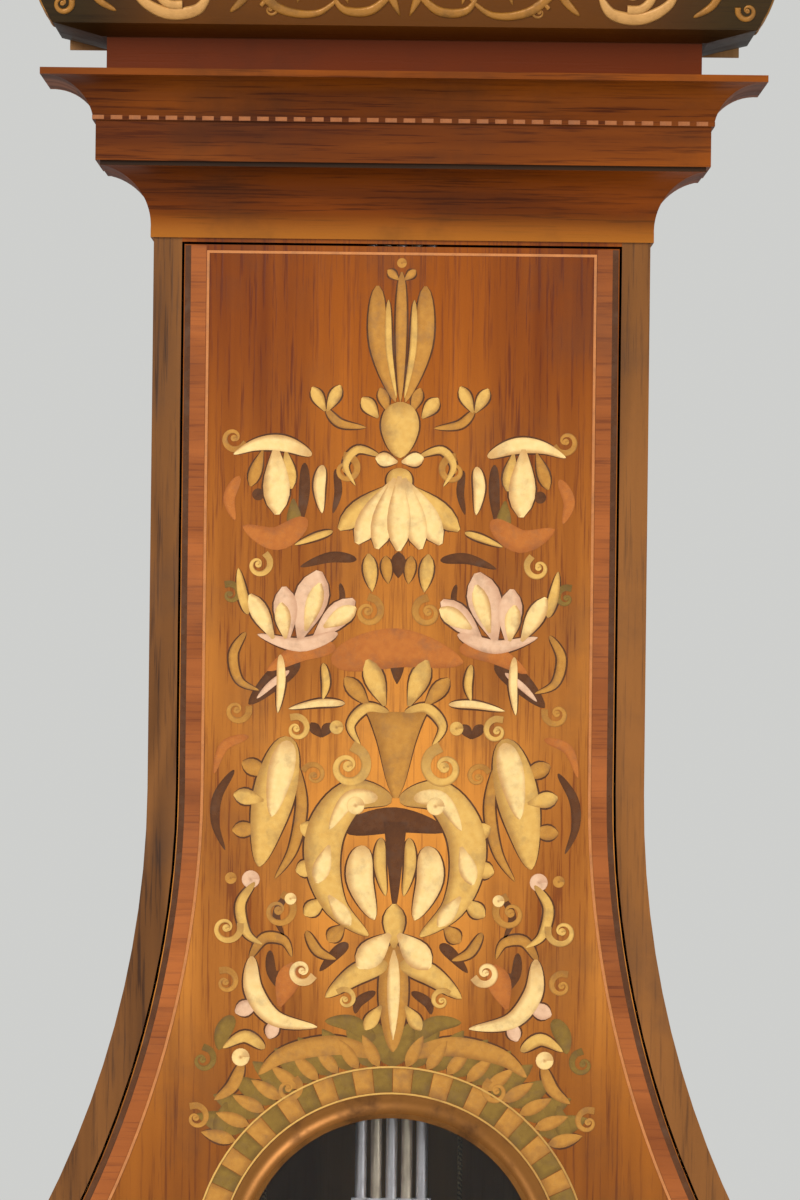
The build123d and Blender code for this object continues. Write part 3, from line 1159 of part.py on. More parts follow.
def upright(x, bottom, top, radius):
    """A round rod of the gridiron."""
    with BuildSketch(Plane.XY.offset(bottom)) as section:
        with Locations((x, PENDULUM_Y)):
            Circle(radius)
    extrude(section.sketch, amount=top - bottom)


grid_half = 2 * GRID_PITCH + GRID_RADIUS + 2
with BuildPart() as grid_steel:
    for x in (-2 * GRID_PITCH, 0.0, 2 * GRID_PITCH):
        upright(x, GRID_BOTTOM, GRID_TOP - BRIDGE_HEIGHT, GRID_RADIUS)
    for z in (GRID_BOTTOM - BRIDGE_HEIGHT, GRID_TOP - BRIDGE_HEIGHT):
        plate((-grid_half, grid_half), (PENDULUM_Y - BRIDGE_DEPTH / 2, PENDULUM_Y + BRIDGE_DEPTH / 2),
              (z, z + BRIDGE_HEIGHT))
    upright(0, BOB_Z - BOB_RADIUS - RATING_TAIL, GRID_BOTTOM - BRIDGE_HEIGHT, RATING_RADIUS)
save(grid_steel.part, "grid_steel")

with BuildPart() as grid_brass:
    for x in (-GRID_PITCH, GRID_PITCH):
        upright(x, GRID_BOTTOM, GRID_TOP - BRIDGE_HEIGHT, GRID_RADIUS)
save(grid_brass.part, "grid_brass")

with BuildPart() as bob:
    with BuildSketch(Plane.XY.offset(BOB_Z)):
        with BuildLine():
            half = BOB_THICK / 2
            for side in (-1, 1):
                ThreePointArc((0, PENDULUM_Y + side * half),
                              (BOB_RADIUS / 2, PENDULUM_Y + side * 0.78 * half),
                              (BOB_RADIUS, PENDULUM_Y + side * BOB_EDGE / 2))
            Line((BOB_RADIUS, PENDULUM_Y - BOB_EDGE / 2), (BOB_RADIUS, PENDULUM_Y + BOB_EDGE / 2))
            Line((0, PENDULUM_Y - half), (0, PENDULUM_Y + half))
        make_face()
    revolve(axis=Axis((0, 0, BOB_Z), (0, 1, 0)))
    with BuildSketch(Plane.XY.offset(BOB_Z - BOB_RADIUS - 1)):
        with Locations((0, PENDULUM_Y)):
            Circle(RATING_RADIUS + RUNNING)
    extrude(amount=2 * BOB_RADIUS + 2, mode=Mode.SUBTRACT)
save(bob.part, "bob")

with BuildPart() as rating_nut:
    nut_top = BOB_Z - BOB_RADIUS - CLEAR
    with BuildSketch(Plane.XY.offset(nut_top - NUT_HEIGHT)):
        with Locations((0, PENDULUM_Y)):
            Circle(NUT_RADIUS)
            Circle(RATING_RADIUS + RUNNING, mode=Mode.SUBTRACT)
    extrude(amount=NUT_HEIGHT)
save(rating_nut.part, "rating_nut")

# Weights, stored run down, and the lines that carry them
WEIGHT_TOP = WEIGHT_BOTTOM + WEIGHT_HEIGHT
EYE_TOP = WEIGHT_TOP + EYE_HEIGHT


def weight(x):
    """A turned iron cylinder with a rounded head and an eye on top."""
    with BuildSketch(Plane.XZ.offset(-LINE_Y)) as turned:
        with BuildLine():
            Polyline((x, WEIGHT_TOP), (x, WEIGHT_BOTTOM), (x + WEIGHT_RADIUS - 4, WEIGHT_BOTTOM),
                     (x + WEIGHT_RADIUS, WEIGHT_BOTTOM + 4), (x + WEIGHT_RADIUS, WEIGHT_TOP - 10))
            RadiusArc((x + WEIGHT_RADIUS, WEIGHT_TOP - 10), (x + WEIGHT_RADIUS - 14, WEIGHT_TOP), -16)
            Line((x + WEIGHT_RADIUS - 14, WEIGHT_TOP), (x, WEIGHT_TOP))
        make_face()
    revolve(turned.sketch, axis=Axis((x, LINE_Y, 0), (0, 0, 1)))
    with BuildSketch(Plane.XZ.offset(-LINE_Y - 3)) as eye:
        with Locations((x, WEIGHT_TOP + EYE_HEIGHT / 2)):
            Circle(EYE_HEIGHT / 2)
            Circle(EYE_HEIGHT / 2 - 4, mode=Mode.SUBTRACT)
        with Locations((x, WEIGHT_TOP + 1)):
            Rectangle(8, 6)
    extrude(eye.sketch, amount=6)


def weight_line(x):
    """The straight line from the side of the barrel down to the weight's eye."""
    with BuildSketch(Plane.XY.offset(EYE_TOP)) as section:
        with Locations((x, LINE_Y)):
            Circle(LINE_RADIUS)
    extrude(section.sketch, amount=BARREL_Z - EYE_TOP)


with BuildPart() as going_weight:
    weight(GOING_LINE_X)
save(going_weight.part, "going_weight")

with BuildPart() as strike_weight:
    weight(STRIKE_LINE_X)
save(strike_weight.part, "strike_weight")

with BuildPart() as going_line:
    weight_line(GOING_LINE_X)
save(going_line.part, "going_line")

with BuildPart() as strike_line:
    weight_line(STRIKE_LINE_X)
save(strike_line.part, "strike_line")
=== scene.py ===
# %% [markdown]
# # A longcase clock in a violin-shaped case
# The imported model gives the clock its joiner's shapes: boards, mouldings, doors and the whole
# movement. This lesson dresses it. Polished walnut, blackened and gilt mouldings, inlaid woods,
# brass, steel and enamel are made as node materials, and the thin ornament that a cabinet maker
# lays on last is modelled piece by piece. Everything is in metres, in the frame of the model.

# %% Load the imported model
import math

import bmesh
import bpy
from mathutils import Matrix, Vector
from mathutils.bvhtree import BVHTree


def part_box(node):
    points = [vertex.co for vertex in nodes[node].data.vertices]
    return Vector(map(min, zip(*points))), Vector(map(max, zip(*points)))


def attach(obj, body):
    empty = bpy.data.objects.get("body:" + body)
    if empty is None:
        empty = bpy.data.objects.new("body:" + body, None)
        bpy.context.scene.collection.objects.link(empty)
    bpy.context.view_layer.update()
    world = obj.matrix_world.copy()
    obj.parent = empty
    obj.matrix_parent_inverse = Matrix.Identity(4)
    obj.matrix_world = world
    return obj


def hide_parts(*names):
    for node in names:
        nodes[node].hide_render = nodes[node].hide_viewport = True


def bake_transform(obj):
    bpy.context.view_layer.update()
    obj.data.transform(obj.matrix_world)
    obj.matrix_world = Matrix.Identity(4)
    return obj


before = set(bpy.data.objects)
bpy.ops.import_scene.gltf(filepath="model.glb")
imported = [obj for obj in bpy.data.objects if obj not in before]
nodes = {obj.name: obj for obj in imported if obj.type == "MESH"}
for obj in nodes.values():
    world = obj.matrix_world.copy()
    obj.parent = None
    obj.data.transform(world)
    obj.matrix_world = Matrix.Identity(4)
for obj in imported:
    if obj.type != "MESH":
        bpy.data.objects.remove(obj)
scene = bpy.context.scene
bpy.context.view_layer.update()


def new_object(name, data):
    """An object at the origin of the scene."""
    thing = bpy.data.objects.new(name, data)
    scene.collection.objects.link(thing)
    return thing


# %% [markdown]
# ## Where the photograph was taken from
# The photograph shows the clock square on, from the lower edge of the hood to the top of the
# pendulum window, and leans by less than a degree. A long lens far away keeps the mouldings as
# flat as they look there. The door's front is the plane on which one pixel of the photograph is
# 0.6 mm.

# %% Camera
DOOR_FRONT = -0.066
PIXEL, PHOTO_ROWS = 0.0006, 1200
SENSOR = 36.0
SHOT_SIDE, SHOT_DISTANCE, SHOT_HEIGHT = 0.0012, 9.0, 1.535
LEAN = math.radians(-0.67)

shot = bpy.data.cameras.new("photograph_view")
shot.sensor_fit = "VERTICAL"
shot.sensor_height = SENSOR
shot.lens = SENSOR * SHOT_DISTANCE / (PHOTO_ROWS * PIXEL)
camera = new_object("photograph_view", shot)
camera.location = (SHOT_SIDE, DOOR_FRONT - SHOT_DISTANCE, SHOT_HEIGHT)
camera.rotation_euler = (math.radians(90), LEAN, 0)
scene.camera = camera
scene.view_settings.view_transform = "Standard"
print("lens:", round(shot.lens, 1), "mm")

# %% [markdown]
# ## A few helpers for node trees
# A material here is a Principled shader with a small network in front of it. `add_node` makes a
# node and fills in its sockets, and takes another node's output wherever a number could stand, so
# a network reads like a sentence. The helpers after it stand for the nodes that come up again and
# again.

# %% Node helpers
def fill(tree, node, sockets):
    """Fills a node's inputs; each takes a value or another node's output."""
    for name, value in sockets.items():
        if isinstance(value, bpy.types.NodeSocket):
            tree.links.new(value, node.inputs[name])
        else:
            node.inputs[name].default_value = value
    return node


def add_node(tree, kind, sockets=None, **settings):
    """A node with its settings made and its inputs filled."""
    node = tree.nodes.new(kind)
    for name, value in settings.items():
        setattr(node, name, value)
    return fill(tree, node, sockets or {})


def number(tree, operation, first, second=0.0, third=0.5):
    """One step of arithmetic; gives the output socket."""
    terms = {0: first, 1: second, 2: third}
    return add_node(tree, "ShaderNodeMath", terms, operation=operation).outputs[0]


def blend_colours(tree, share, first, second, mode="MIX"):
    """The second colour laid over the first by a share."""
    terms = {0: share, 6: first, 7: second}
    return add_node(tree, "ShaderNodeMix", terms, data_type="RGBA", blend_type=mode).outputs[2]


def blend_vectors(tree, share, first, second):
    """The first vector, or the second where the share is 1."""
    terms = {0: share, 4: first, 5: second}
    return add_node(tree, "ShaderNodeMix", terms, data_type="VECTOR").outputs[1]


def object_place(tree):
    """The place on the object, in metres."""
    return add_node(tree, "ShaderNodeTexCoord").outputs["Object"]


def split(tree, vector):
    """The three numbers of a vector."""
    return add_node(tree, "ShaderNodeSeparateXYZ", {0: vector}).outputs


def joined(tree, x=0.0, y=0.0, z=0.0):
    """A vector of three numbers."""
    return add_node(tree, "ShaderNodeCombineXYZ", {0: x, 1: y, 2: z}).outputs[0]


def noise(tree, vector, scale, detail=2.0, rough=0.5, distortion=0.0):
    """How dense a cloudy texture is at a place."""
    sockets = {"Vector": vector, "Scale": scale, "Detail": detail, "Roughness": rough,
               "Distortion": distortion}
    return add_node(tree, "ShaderNodeTexNoise", sockets).outputs["Fac"]


def smooth_share(tree, value, low, high, most=1.0):
    """Goes softly from 0, where a value is low, to the most, where it is high."""
    sockets = {"Value": value, "From Min": low, "From Max": high, "To Max": most}
    return add_node(tree, "ShaderNodeMapRange", sockets,
                    interpolation_type="SMOOTHSTEP").outputs[0]


def fresh_group(name, inputs, outputs, kind="ShaderNodeTree"):
    """An empty group with named sockets; gives the group, its input sockets and its output node."""
    group = bpy.data.node_groups.new(name, kind)
    for label, socket, *start in inputs:
        made = group.interface.new_socket(label, in_out="INPUT", socket_type="NodeSocket" + socket)
        if start:
            made.default_value = start[0]
    for label, socket in outputs:
        group.interface.new_socket(label, in_out="OUTPUT", socket_type="NodeSocket" + socket)
    return group, group.nodes.new("NodeGroupInput").outputs, group.nodes.new("NodeGroupOutput")


def linear(colour):
    """A colour as the eye reads it, 0 to 255, turned into the linear one that shaders take."""
    parts = [part / 255 for part in colour]
    return (*(v / 12.92 if v <= 0.04045 else ((v + 0.055) / 1.055) ** 2.4 for v in parts), 1.0)


print("a mid walnut is", [round(v, 3) for v in linear((168, 103, 45))])

# %% [markdown]
# ## Light
# A large soft lamp high on the left leaves the hollows under the cornice in shade, as in the
# photograph, and a weaker one fills the right. The world adds an even grey. What the camera sees
# behind the clock is a pale backdrop colour, taken from the light path and not from more light on
# the object. Polished surfaces see the same backdrop at less than half its brightness, because a
# room stands in front of them.

# %% Lamps
def area_lamp(name, place, aim, size, power):
    """A square soft lamp that points at a spot on the clock."""
    light = bpy.data.lights.new(name, "AREA")
    light.size = size
    light.energy = power
    lamp = new_object(name, light)
    lamp.location = place
    lamp.rotation_euler = (Vector(aim) - Vector(place)).to_track_quat("-Z", "Y").to_euler()


area_lamp("key_lamp", (-1.7, -2.8, 3.0), (0, 0, 1.5), size=1.6, power=96)
area_lamp("fill_lamp", (2.4, -2.4, 1.9), (0, 0, 1.3), size=1.8, power=30)
area_lamp("back_lamp", (0.8, 2.6, 2.9), (0, 0, 1.3), size=1.6, power=40)

# %% World and floor
EVEN_GREY, EVEN_STRENGTH = (0.96, 0.98, 1.0, 1), 0.55
BACKDROP, LOST_IN_POLISH = (0.62, 0.625, 0.61, 1), -0.6
FLOOR = 4

world = bpy.data.worlds.new("studio")
scene.world = world
world.use_nodes = True
sky = world.node_tree
sky.nodes.clear()
rays = add_node(sky, "ShaderNodeLightPath").outputs
seen = number(sky, "MAXIMUM", number(sky, "MAXIMUM", rays["Is Camera Ray"], rays["Is Glossy Ray"]),
              rays["Is Transmission Ray"])
dimmed = number(sky, "MULTIPLY_ADD", rays["Is Glossy Ray"], LOST_IN_POLISH, 1.0)
even, behind = [
    add_node(sky, "ShaderNodeBackground", {"Color": colour, "Strength": strength}).outputs[0]
    for colour, strength in ((EVEN_GREY, EVEN_STRENGTH), (BACKDROP, dimmed))]
either = add_node(sky, "ShaderNodeMixShader", {"Fac": seen, 1: even, 2: behind}).outputs[0]
add_node(sky, "ShaderNodeOutputWorld", {"Surface": either})

floor_mesh = bpy.data.meshes.new("floor")
corners = [(-FLOOR, -FLOOR, 0), (FLOOR, -FLOOR, 0), (FLOOR, FLOOR, 0), (-FLOOR, FLOOR, 0)]
floor_mesh.from_pydata(corners, [], [(0, 1, 2, 3)])
floor = new_object("floor", floor_mesh)
print("floor at", floor.location.z)

# %% [markdown]
# ## Wood grain
# Every wooden surface of the clock shows the same four things at its own strength: broad flames
# of figure, fine dark pores along the grain, a slow drift of colour, and a polish that is duller
# in the pores. One group makes them all. Its vector input says which way the grain runs: Z is
# along it.

# %% The grain group
FULL_TURN = 6.283
FLAME_STRETCH, THREAD_STRETCH = 0.2, 0.035
FINE_SCALE, FIBRE_SCALE, CLOUD_SCALE = 520.0, 110.0, 9.0
PORE_FROM, PORE_STEEP, PORE_SOFT = 0.52, 5.0, 0.2
FLAME_PART, FIBRE_PART, DRIFT_PART = 0.42, 0.5, 2.2
PORE_DULL, CLOUD_DULL = 0.18, 0.12
PALEST, DEEPEST = 0.1, 1.05

grain, g_in, g_end = fresh_group(
    "wood grain",
    [("Vector", "Vector"), ("Light", "Color", (0.5, 0.2, 0.05, 1)),
     ("Dark", "Color", (0.2, 0.06, 0.01, 1)), ("Figure", "Float", 6.0), ("Flames", "Float", 5.0),
     ("Pores", "Float", 0.5), ("Drift", "Float", 0.5)],
    [("Color", "Color"), ("Height", "Float"), ("Roughness", "Float")])
along, thread = [
    add_node(grain, "ShaderNodeMapping",
             {"Vector": g_in["Vector"], "Scale": (1.0, 1.0, stretch)}).outputs[0]
    for stretch in (FLAME_STRETCH, THREAD_STRETCH)]
fine = noise(grain, thread, FINE_SCALE, detail=3.0, rough=0.65)
fibre = noise(grain, thread, FIBRE_SCALE)
cloud = noise(grain, along, CLOUD_SCALE)
figure = noise(grain, along, g_in["Figure"], detail=3.0, distortion=0.8)
rings = number(grain, "SINE", number(
    grain, "MULTIPLY", figure, number(grain, "MULTIPLY", g_in["Flames"], FULL_TURN)))
flames = number(grain, "MULTIPLY_ADD", rings, 0.5, 0.5)
pore = number(grain, "SMOOTH_MIN", 1.0, number(grain, "MULTIPLY", number(
    grain, "MAXIMUM", number(grain, "SUBTRACT", fine, PORE_FROM), 0.0), PORE_STEEP), PORE_SOFT)
pores = number(grain, "MULTIPLY", pore, g_in["Pores"])
drift = number(grain, "MULTIPLY", number(grain, "SUBTRACT", cloud, 0.5), g_in["Drift"])
depth = number(grain, "ADD", number(grain, "MULTIPLY", flames, FLAME_PART), number(
    grain, "ADD", number(grain, "MULTIPLY", fibre, FIBRE_PART),
    number(grain, "MULTIPLY", drift, DRIFT_PART)))
share = add_node(grain, "ShaderNodeMapRange", {"Value": number(grain, "ADD", depth, pores),
                                               "From Min": PALEST, "From Max": DEEPEST}).outputs[0]
fill(grain, g_end, {
    "Color": blend_colours(grain, share, g_in["Light"], g_in["Dark"]),
    "Height": number(grain, "SUBTRACT", 1.0, pores),
    "Roughness": number(grain, "MULTIPLY_ADD", pore, PORE_DULL,
                        number(grain, "MULTIPLY", cloud, CLOUD_DULL))})
print("grain group:", len(grain.nodes), "nodes")

# %% [markdown]
# ## Which way the grain runs
# A moulding goes round three sides of the case, and the grain turns the corner with it. The group
# below looks at the surface's normal: where it points sideways the moulding runs along Y,
# elsewhere along X. Upright boards keep Z. The result always has the grain along its own Z.

# %% The run group
SIDEWAYS = 0.55
run, r_in, r_end = fresh_group("grain along the run", [("Upright", "Float", 0.0)],
                               [("Vector", "Vector")])
place = add_node(run, "ShaderNodeTexCoord").outputs
x, y, z = split(run, place["Object"])
aside = number(run, "ABSOLUTE", split(run, place["Normal"])[0])
on_side = number(run, "GREATER_THAN", aside, SIDEWAYS)
turned = blend_vectors(run, on_side, joined(run, y, z, x), joined(run, x, z, y))
fill(run, r_end, {"Vector": blend_vectors(run, r_in["Upright"], turned, place["Object"])})
print("run group:", len(run.nodes), "nodes")

# %% [markdown]
# ## Age
# Two centuries of wax and dust darken polished wood in soft patches, and metal in spots. This
# group turns a clean colour into an old one, and makes the gloss uneven in the same places.

# %% The age group
PATCH_FROM, PATCH_FULL, GRIME_DULL = 0.45, 0.75, 0.45

age, a_in, a_end = fresh_group(
    "age", [("Color", "Color", (0.5, 0.5, 0.5, 1)), ("Grime", "Color", (0.05, 0.03, 0.02, 1)),
            ("Amount", "Float", 0.3), ("Size", "Float", 20.0), ("Gloss", "Float", 0.3)],
    [("Color", "Color"), ("Roughness", "Float")])
patches = noise(age, object_place(age), a_in["Size"], detail=5.0, rough=0.62)
covered = number(age, "MULTIPLY", smooth_share(age, patches, PATCH_FROM, PATCH_FULL),
                 a_in["Amount"])
dulled = number(age, "MULTIPLY", covered, GRIME_DULL)
fill(age, a_end, {"Color": blend_colours(age, covered, a_in["Color"], a_in["Grime"]),
                  "Roughness": number(age, "ADD", a_in["Gloss"], dulled)})
print("age group:", len(age.nodes), "nodes")

# %% Making a material
MATERIALS = {}
BUMP_STRENGTH = 0.6


def new_material(name):
    """A material kept under its name; gives its tree and its Principled shader."""
    material = bpy.data.materials.new(name)
    material.use_nodes = True
    MATERIALS[name] = material
    return material.node_tree, material.node_tree.nodes["Principled BSDF"]


def group_node(tree, group, **sockets):
    """The outputs of a group that is placed in a tree."""
    return add_node(tree, "ShaderNodeGroup", sockets, node_tree=group).outputs


def bumped(tree, shader, height, distance):
    """Feeds a height into the shader's normal."""
    sockets = {"Strength": BUMP_STRENGTH, "Distance": distance, "Height": height}
    fill(tree, shader, {"Normal": add_node(tree, "ShaderNodeBump", sockets).outputs[0]})


print("material helpers ready")

# %% [markdown]
# ## Polished woods
# The veneer of the door and plinth is a warm figured walnut under shellac, the stiles are darker,
# the cornice and the throat under it are redder. They differ only in the values given to the
# grain group. The veneer is book-matched: its left half mirrors its right one, which the absolute
# value of X does. A veil tones a wood by place: painted shade under the cornice, painted light
# along the throat's lower edge, and other tones by height or across the hood's swelling.

# %% Polish and veils
WAX, WAX_SIZE = (0.03, 0.014, 0.006, 1), 14.0
POLISH_ROUGH, GRAIN_ROUGH, GRAIN_DEPTH = 0.18, 0.6, 0.0002
# Painted shade under the cornice, darker veneer from the belly down, painted light on the throat's
# foot.
CORNICE_SHADE_SPAN, BELLY, THROAT_LIT_SPAN = (1.45, 1.72), (1.36, 1.20), (1.77, 1.748)
NECK_LINE, SWELLING_SIDES = (1.869, 1.8705), (0.12, 0.2)


def polished_wood(name, light, dark, figure=6.0, flames=4.0, pores=0.45, drift=0.6, upright=1.0,
                  gloss=0.26, coat=0.3, shine=0.25, mirrored=False, grime=0.25, veil=None):
    """A wood between two colours; with upright 0 its grain follows a moulding."""
    tree, shader = new_material(name)
    way = group_node(tree, run, Upright=upright)["Vector"]
    if mirrored:
        x, y, z = split(tree, way)
        way = joined(tree, number(tree, "ABSOLUTE", x), y, z)
    wood = group_node(tree, grain, Vector=way, Light=linear(light), Dark=linear(dark),
                      Figure=figure, Flames=flames, Pores=pores, Drift=drift)
    colour = veil(tree, wood["Color"]) if veil else wood["Color"]
    old = group_node(tree, age, Color=colour, Grime=WAX, Amount=grime, Size=WAX_SIZE, Gloss=gloss)
    uneven = number(tree, "MULTIPLY", wood["Roughness"], GRAIN_ROUGH)
    rough = number(tree, "ADD", old["Roughness"], uneven)
    fill(tree, shader, {"Base Color": old["Color"], "Roughness": rough, "Coat Weight": coat,
                        "Coat Roughness": POLISH_ROUGH, "Specular IOR Level": shine})
    bumped(tree, shader, wood["Height"], GRAIN_DEPTH)


def between_heights(tree, span):
    """A share that goes from 0 at the first height of a span to 1 at the other."""
    return smooth_share(tree, split(tree, object_place(tree))[2], *span)


def shaded_top(tree, colour):
    """Painted shade under the cornice; the veneer is also darker from the belly down."""
    for span, tint in ((CORNICE_SHADE_SPAN, (0.62, 0.42, 0.10, 1)), (BELLY, (0.56, 0.46, 0.30, 1))):
        colour = blend_colours(tree, between_heights(tree, span), colour, tint, "MULTIPLY")
    return colour


def throat_painted_light(tree, colour):
    """Painted light on the throat's lower edge, where the hollow turns to face the front."""
    return blend_colours(tree, between_heights(tree, THROAT_LIT_SPAN), colour, linear((160, 94, 24)))


def hood_tones(tree, colour):
    """Red-brown under the hood's swelling, and gold size in the middle of the swelling."""
    out = number(tree, "ABSOLUTE", split(tree, object_place(tree))[0])
    at_sides = smooth_share(tree, out, *SWELLING_SIDES)
    swelling = blend_colours(tree, at_sides, linear((98, 54, 8)), colour)
    return blend_colours(tree, between_heights(tree, NECK_LINE), linear((108, 42, 1)), swelling)


print("veils ready")

# %% The woods
MOULDED = dict(figure=8.0, flames=3.0, upright=0.0, gloss=0.45, coat=0.05, shine=0.12, grime=0.4)
BLACKENED = dict(figure=8.0, flames=2.0, upright=0.0, coat=0.1, shine=0.15, grime=0.3)
PLANED = dict(figure=7.0, flames=6.0, pores=0.2, gloss=0.6, coat=0.0, grime=0.35)

polished_wood("walnut_veneer", (216, 138, 52), (128, 64, 12), figure=5.0, flames=4.5, drift=0.9,
              mirrored=True, veil=shaded_top)
polished_wood("walnut_plinth", (176, 108, 52), (104, 54, 22), figure=5.0, mirrored=True)
polished_wood("stile_walnut", (146, 92, 42), (64, 36, 14), figure=9.0, flames=3.0, grime=0.3)
polished_wood("side_walnut", (140, 82, 44), (74, 38, 18), figure=4.0)
polished_wood("hood_walnut", (164, 98, 46), (90, 46, 18), figure=5.0)
polished_wood("crossband_walnut", (176, 98, 44), (112, 54, 20), figure=9.0, flames=3.0, upright=0.0)
polished_wood("skirting_walnut", (110, 62, 34), (54, 28, 14), flames=3.0, upright=0.0, grime=0.4)
polished_wood("moulding_walnut", (154, 78, 10), (74, 28, 0), **MOULDED)
polished_wood("throat_walnut", (148, 70, 4), (72, 28, 0), veil=throat_painted_light, **MOULDED)
polished_wood("ebonised_wood", (62, 44, 14), (34, 24, 8), gloss=0.4, veil=hood_tones, **BLACKENED)
polished_wood("ebonised_trim", (56, 34, 16), (26, 14, 6), gloss=0.35, **BLACKENED)
polished_wood("planed_softwood", (196, 150, 96), (140, 92, 50), **PLANED)
polished_wood("planed_softwood_flat", (190, 142, 90), (134, 88, 48), upright=0.0, **PLANED)
print("woods made:", len(MATERIALS))

# %% [markdown]
# ## Metals, enamel, glass and line
# Old lacquered brass is golden with brown bloom. Steel has a close grain, iron a coarse cast
# skin. The enamel is faintly wavy, and the line is a twist that its bump draws as slanting bands,
# with painted shade where the bump is low, in the grooves of the twist.

# %% Metals, enamel and gilding
def old_metal(name, colour, grime, amount, gloss, metallic=1.0, size=30.0, skin=0.0,
              skin_size=400.0, coat=0.0):
    """A metal, enamel or gilding with spots of grime of a size, and with a fine skin."""
    tree, shader = new_material(name)
    old = group_node(tree, age, Color=linear(colour), Grime=linear(grime), Amount=amount,
                     Size=size, Gloss=gloss)
    fill(tree, shader, {"Base Color": old["Color"], "Roughness": old["Roughness"],
                        "Metallic": metallic, "Coat Weight": coat})
    bumped(tree, shader, noise(tree, object_place(tree), skin_size, detail=4.0), skin)


GESSO = dict(skin=0.0004, size=60.0, skin_size=700.0)
old_metal("lacquered_brass", (204, 158, 80), (112, 70, 28), 0.65, 0.3, skin=0.0001)
old_metal("pressed_brass", (206, 160, 84), (96, 62, 26), 0.7, 0.32, skin=0.0002, size=45.0)
old_metal("dull_brass", (150, 96, 38), (70, 40, 14), 0.8, 0.42, metallic=0.6, skin=0.0001)
old_metal("grey_brass", (232, 214, 192), (140, 116, 96), 0.5, 0.34, skin=0.0001)
old_metal("bright_steel", (176, 174, 178), (84, 74, 70), 0.5, 0.26, skin=0.00008, skin_size=900.0)
old_metal("rod_steel", (236, 230, 236), (150, 136, 140), 0.4, 0.3, metallic=0.75,
          skin=0.00006, skin_size=900.0)
old_metal("blued_steel", (36, 42, 66), (14, 14, 20), 0.4, 0.22, skin=0.00005)
old_metal("forged_iron", (66, 62, 60), (60, 36, 24), 0.5, 0.5, metallic=0.8, skin=0.0006,
          skin_size=160.0)
old_metal("cast_iron", (52, 50, 49), (74, 44, 28), 0.45, 0.6, metallic=0.6, skin=0.0012,
          skin_size=120.0)
old_metal("white_enamel", (236, 232, 220), (190, 176, 146), 0.35, 0.12, metallic=0.0,
          skin=0.0002, skin_size=60.0, coat=0.6)
old_metal("black_enamel", (22, 20, 22), (50, 44, 38), 0.3, 0.3, metallic=0.0, skin=0.00005)
old_metal("gilding", (168, 112, 40), (96, 62, 16), 0.75, 0.4, metallic=0.2, **GESSO)
old_metal("pale_gilding", (206, 152, 84), (136, 88, 34), 0.6, 0.42, metallic=0.1, **GESSO)
print("woods and metals made:", len(MATERIALS))

# %% Glass, line and floor
BANDS_UP, BANDS_ROUND = 2200.0, 1500.0

tree, shader = new_material("clear_glass")
wavy = noise(tree, object_place(tree), 14.0, detail=1.0)
fill(tree, shader, {"Base Color": (0.97, 0.99, 0.98, 1), "Transmission Weight": 1.0, "IOR": 1.46,
                    "Roughness": number(tree, "MULTIPLY_ADD", wavy, 0.02, 0.01)})
bumped(tree, shader, wavy, 0.0006)

tree, shader = new_material("hemp_line")
x, y, z = split(tree, object_place(tree))
slant = number(tree, "ADD", number(tree, "MULTIPLY", z, BANDS_UP),
               number(tree, "MULTIPLY", number(tree, "ADD", x, y), BANDS_ROUND))
strand = number(tree, "MULTIPLY_ADD", number(tree, "SINE", slant), 0.5, 0.5)
# Painted shade: the bands are darker where the twist's bump is low, in its grooves.
groove_shaded_twist = blend_colours(tree, strand, linear((112, 88, 54)), linear((186, 158, 110)))
fill(tree, shader, {"Base Color": groove_shaded_twist,
                    "Roughness": number(tree, "MULTIPLY_ADD", strand, -0.1, 0.9)})
bumped(tree, shader, strand, 0.0004)

tree, shader = new_material("pale_floor")
fill(tree, shader, {"Base Color": (0.6, 0.6, 0.59, 1), "Roughness": 0.7})
floor_mesh.materials.append(MATERIALS["pale_floor"])
print("materials:", len(MATERIALS))

# %% [markdown]
# ## Dressing the nodes of the model
# Each node keeps its mesh and takes one finish. The list names the finish first and then the
# nodes that wear it.

# %% Finishes by node
FINISHES = {
    "walnut_veneer": "frame_rails trunk_door",
    "walnut_plinth": "plinth",
    "stile_walnut": "stiles dial_mask",
    "side_walnut": "trunk_sides",
    "hood_walnut": "hood_sides hood_roof hood_front hood_door",
    "skirting_walnut": "skirting base_moulding",
    "moulding_walnut": "cornice",
    "throat_walnut": "throat_moulding",
    "ebonised_wood": "hood_base",
    "ebonised_trim": "hood_crown",
    "planed_softwood": "backboard",
    "planed_softwood_flat": "plinth_shelf seat_board",
    "clear_glass": "window_glass hood_glass",
    "dull_brass": "window_bezel",
    "lacquered_brass": "escutcheon stile_hinge_leaves door_hinge_leaves hood_hinges_fixed "
                       "hood_hinges_moving hood_catch bell going_barrel strike_barrel "
                       "centre_arbor third_arbor escape_wheel pin_wheel stop_wheel fly "
                       "minute_wheel bob rating_nut",
    "bright_steel": "door_lock lock_bolt door_key motion_bridge suspension_cock hammer anchor",
    "rod_steel": "pendulum_rod grid_steel",
    "grey_brass": "grid_brass",
    "blued_steel": "minute_hand hour_hand",
    "forged_iron": "cage pivot_straps",
    "cast_iron": "going_weight strike_weight",
    "white_enamel": "dial",
    "pressed_brass": "dial_surround",
    "hemp_line": "going_line strike_line",
}
bare = set(nodes)
for finish, wearers in FINISHES.items():
    for name in wearers.split():
        nodes[name].data.materials.clear()
        nodes[name].data.materials.append(MATERIALS[finish])
        bare.remove(name)
print("finishes:", len(FINISHES), "left bare:", sorted(bare))

# %% [markdown]
# ## Inlay
# Marquetry is cut from thin woods of other colours and let in flush. Each little piece here is a
# slip with its own outline, a fraction of a millimetre proud so that the light catches its edge.
# A slip is drawn as a stroke: a smooth line through a few points, with a width that swells and
# tapers as a marquetry cutter's leaf does. The slip carries a UV map along and across the stroke,
# so its scorched edges follow it.

# %% Strokes
STEPS = 7


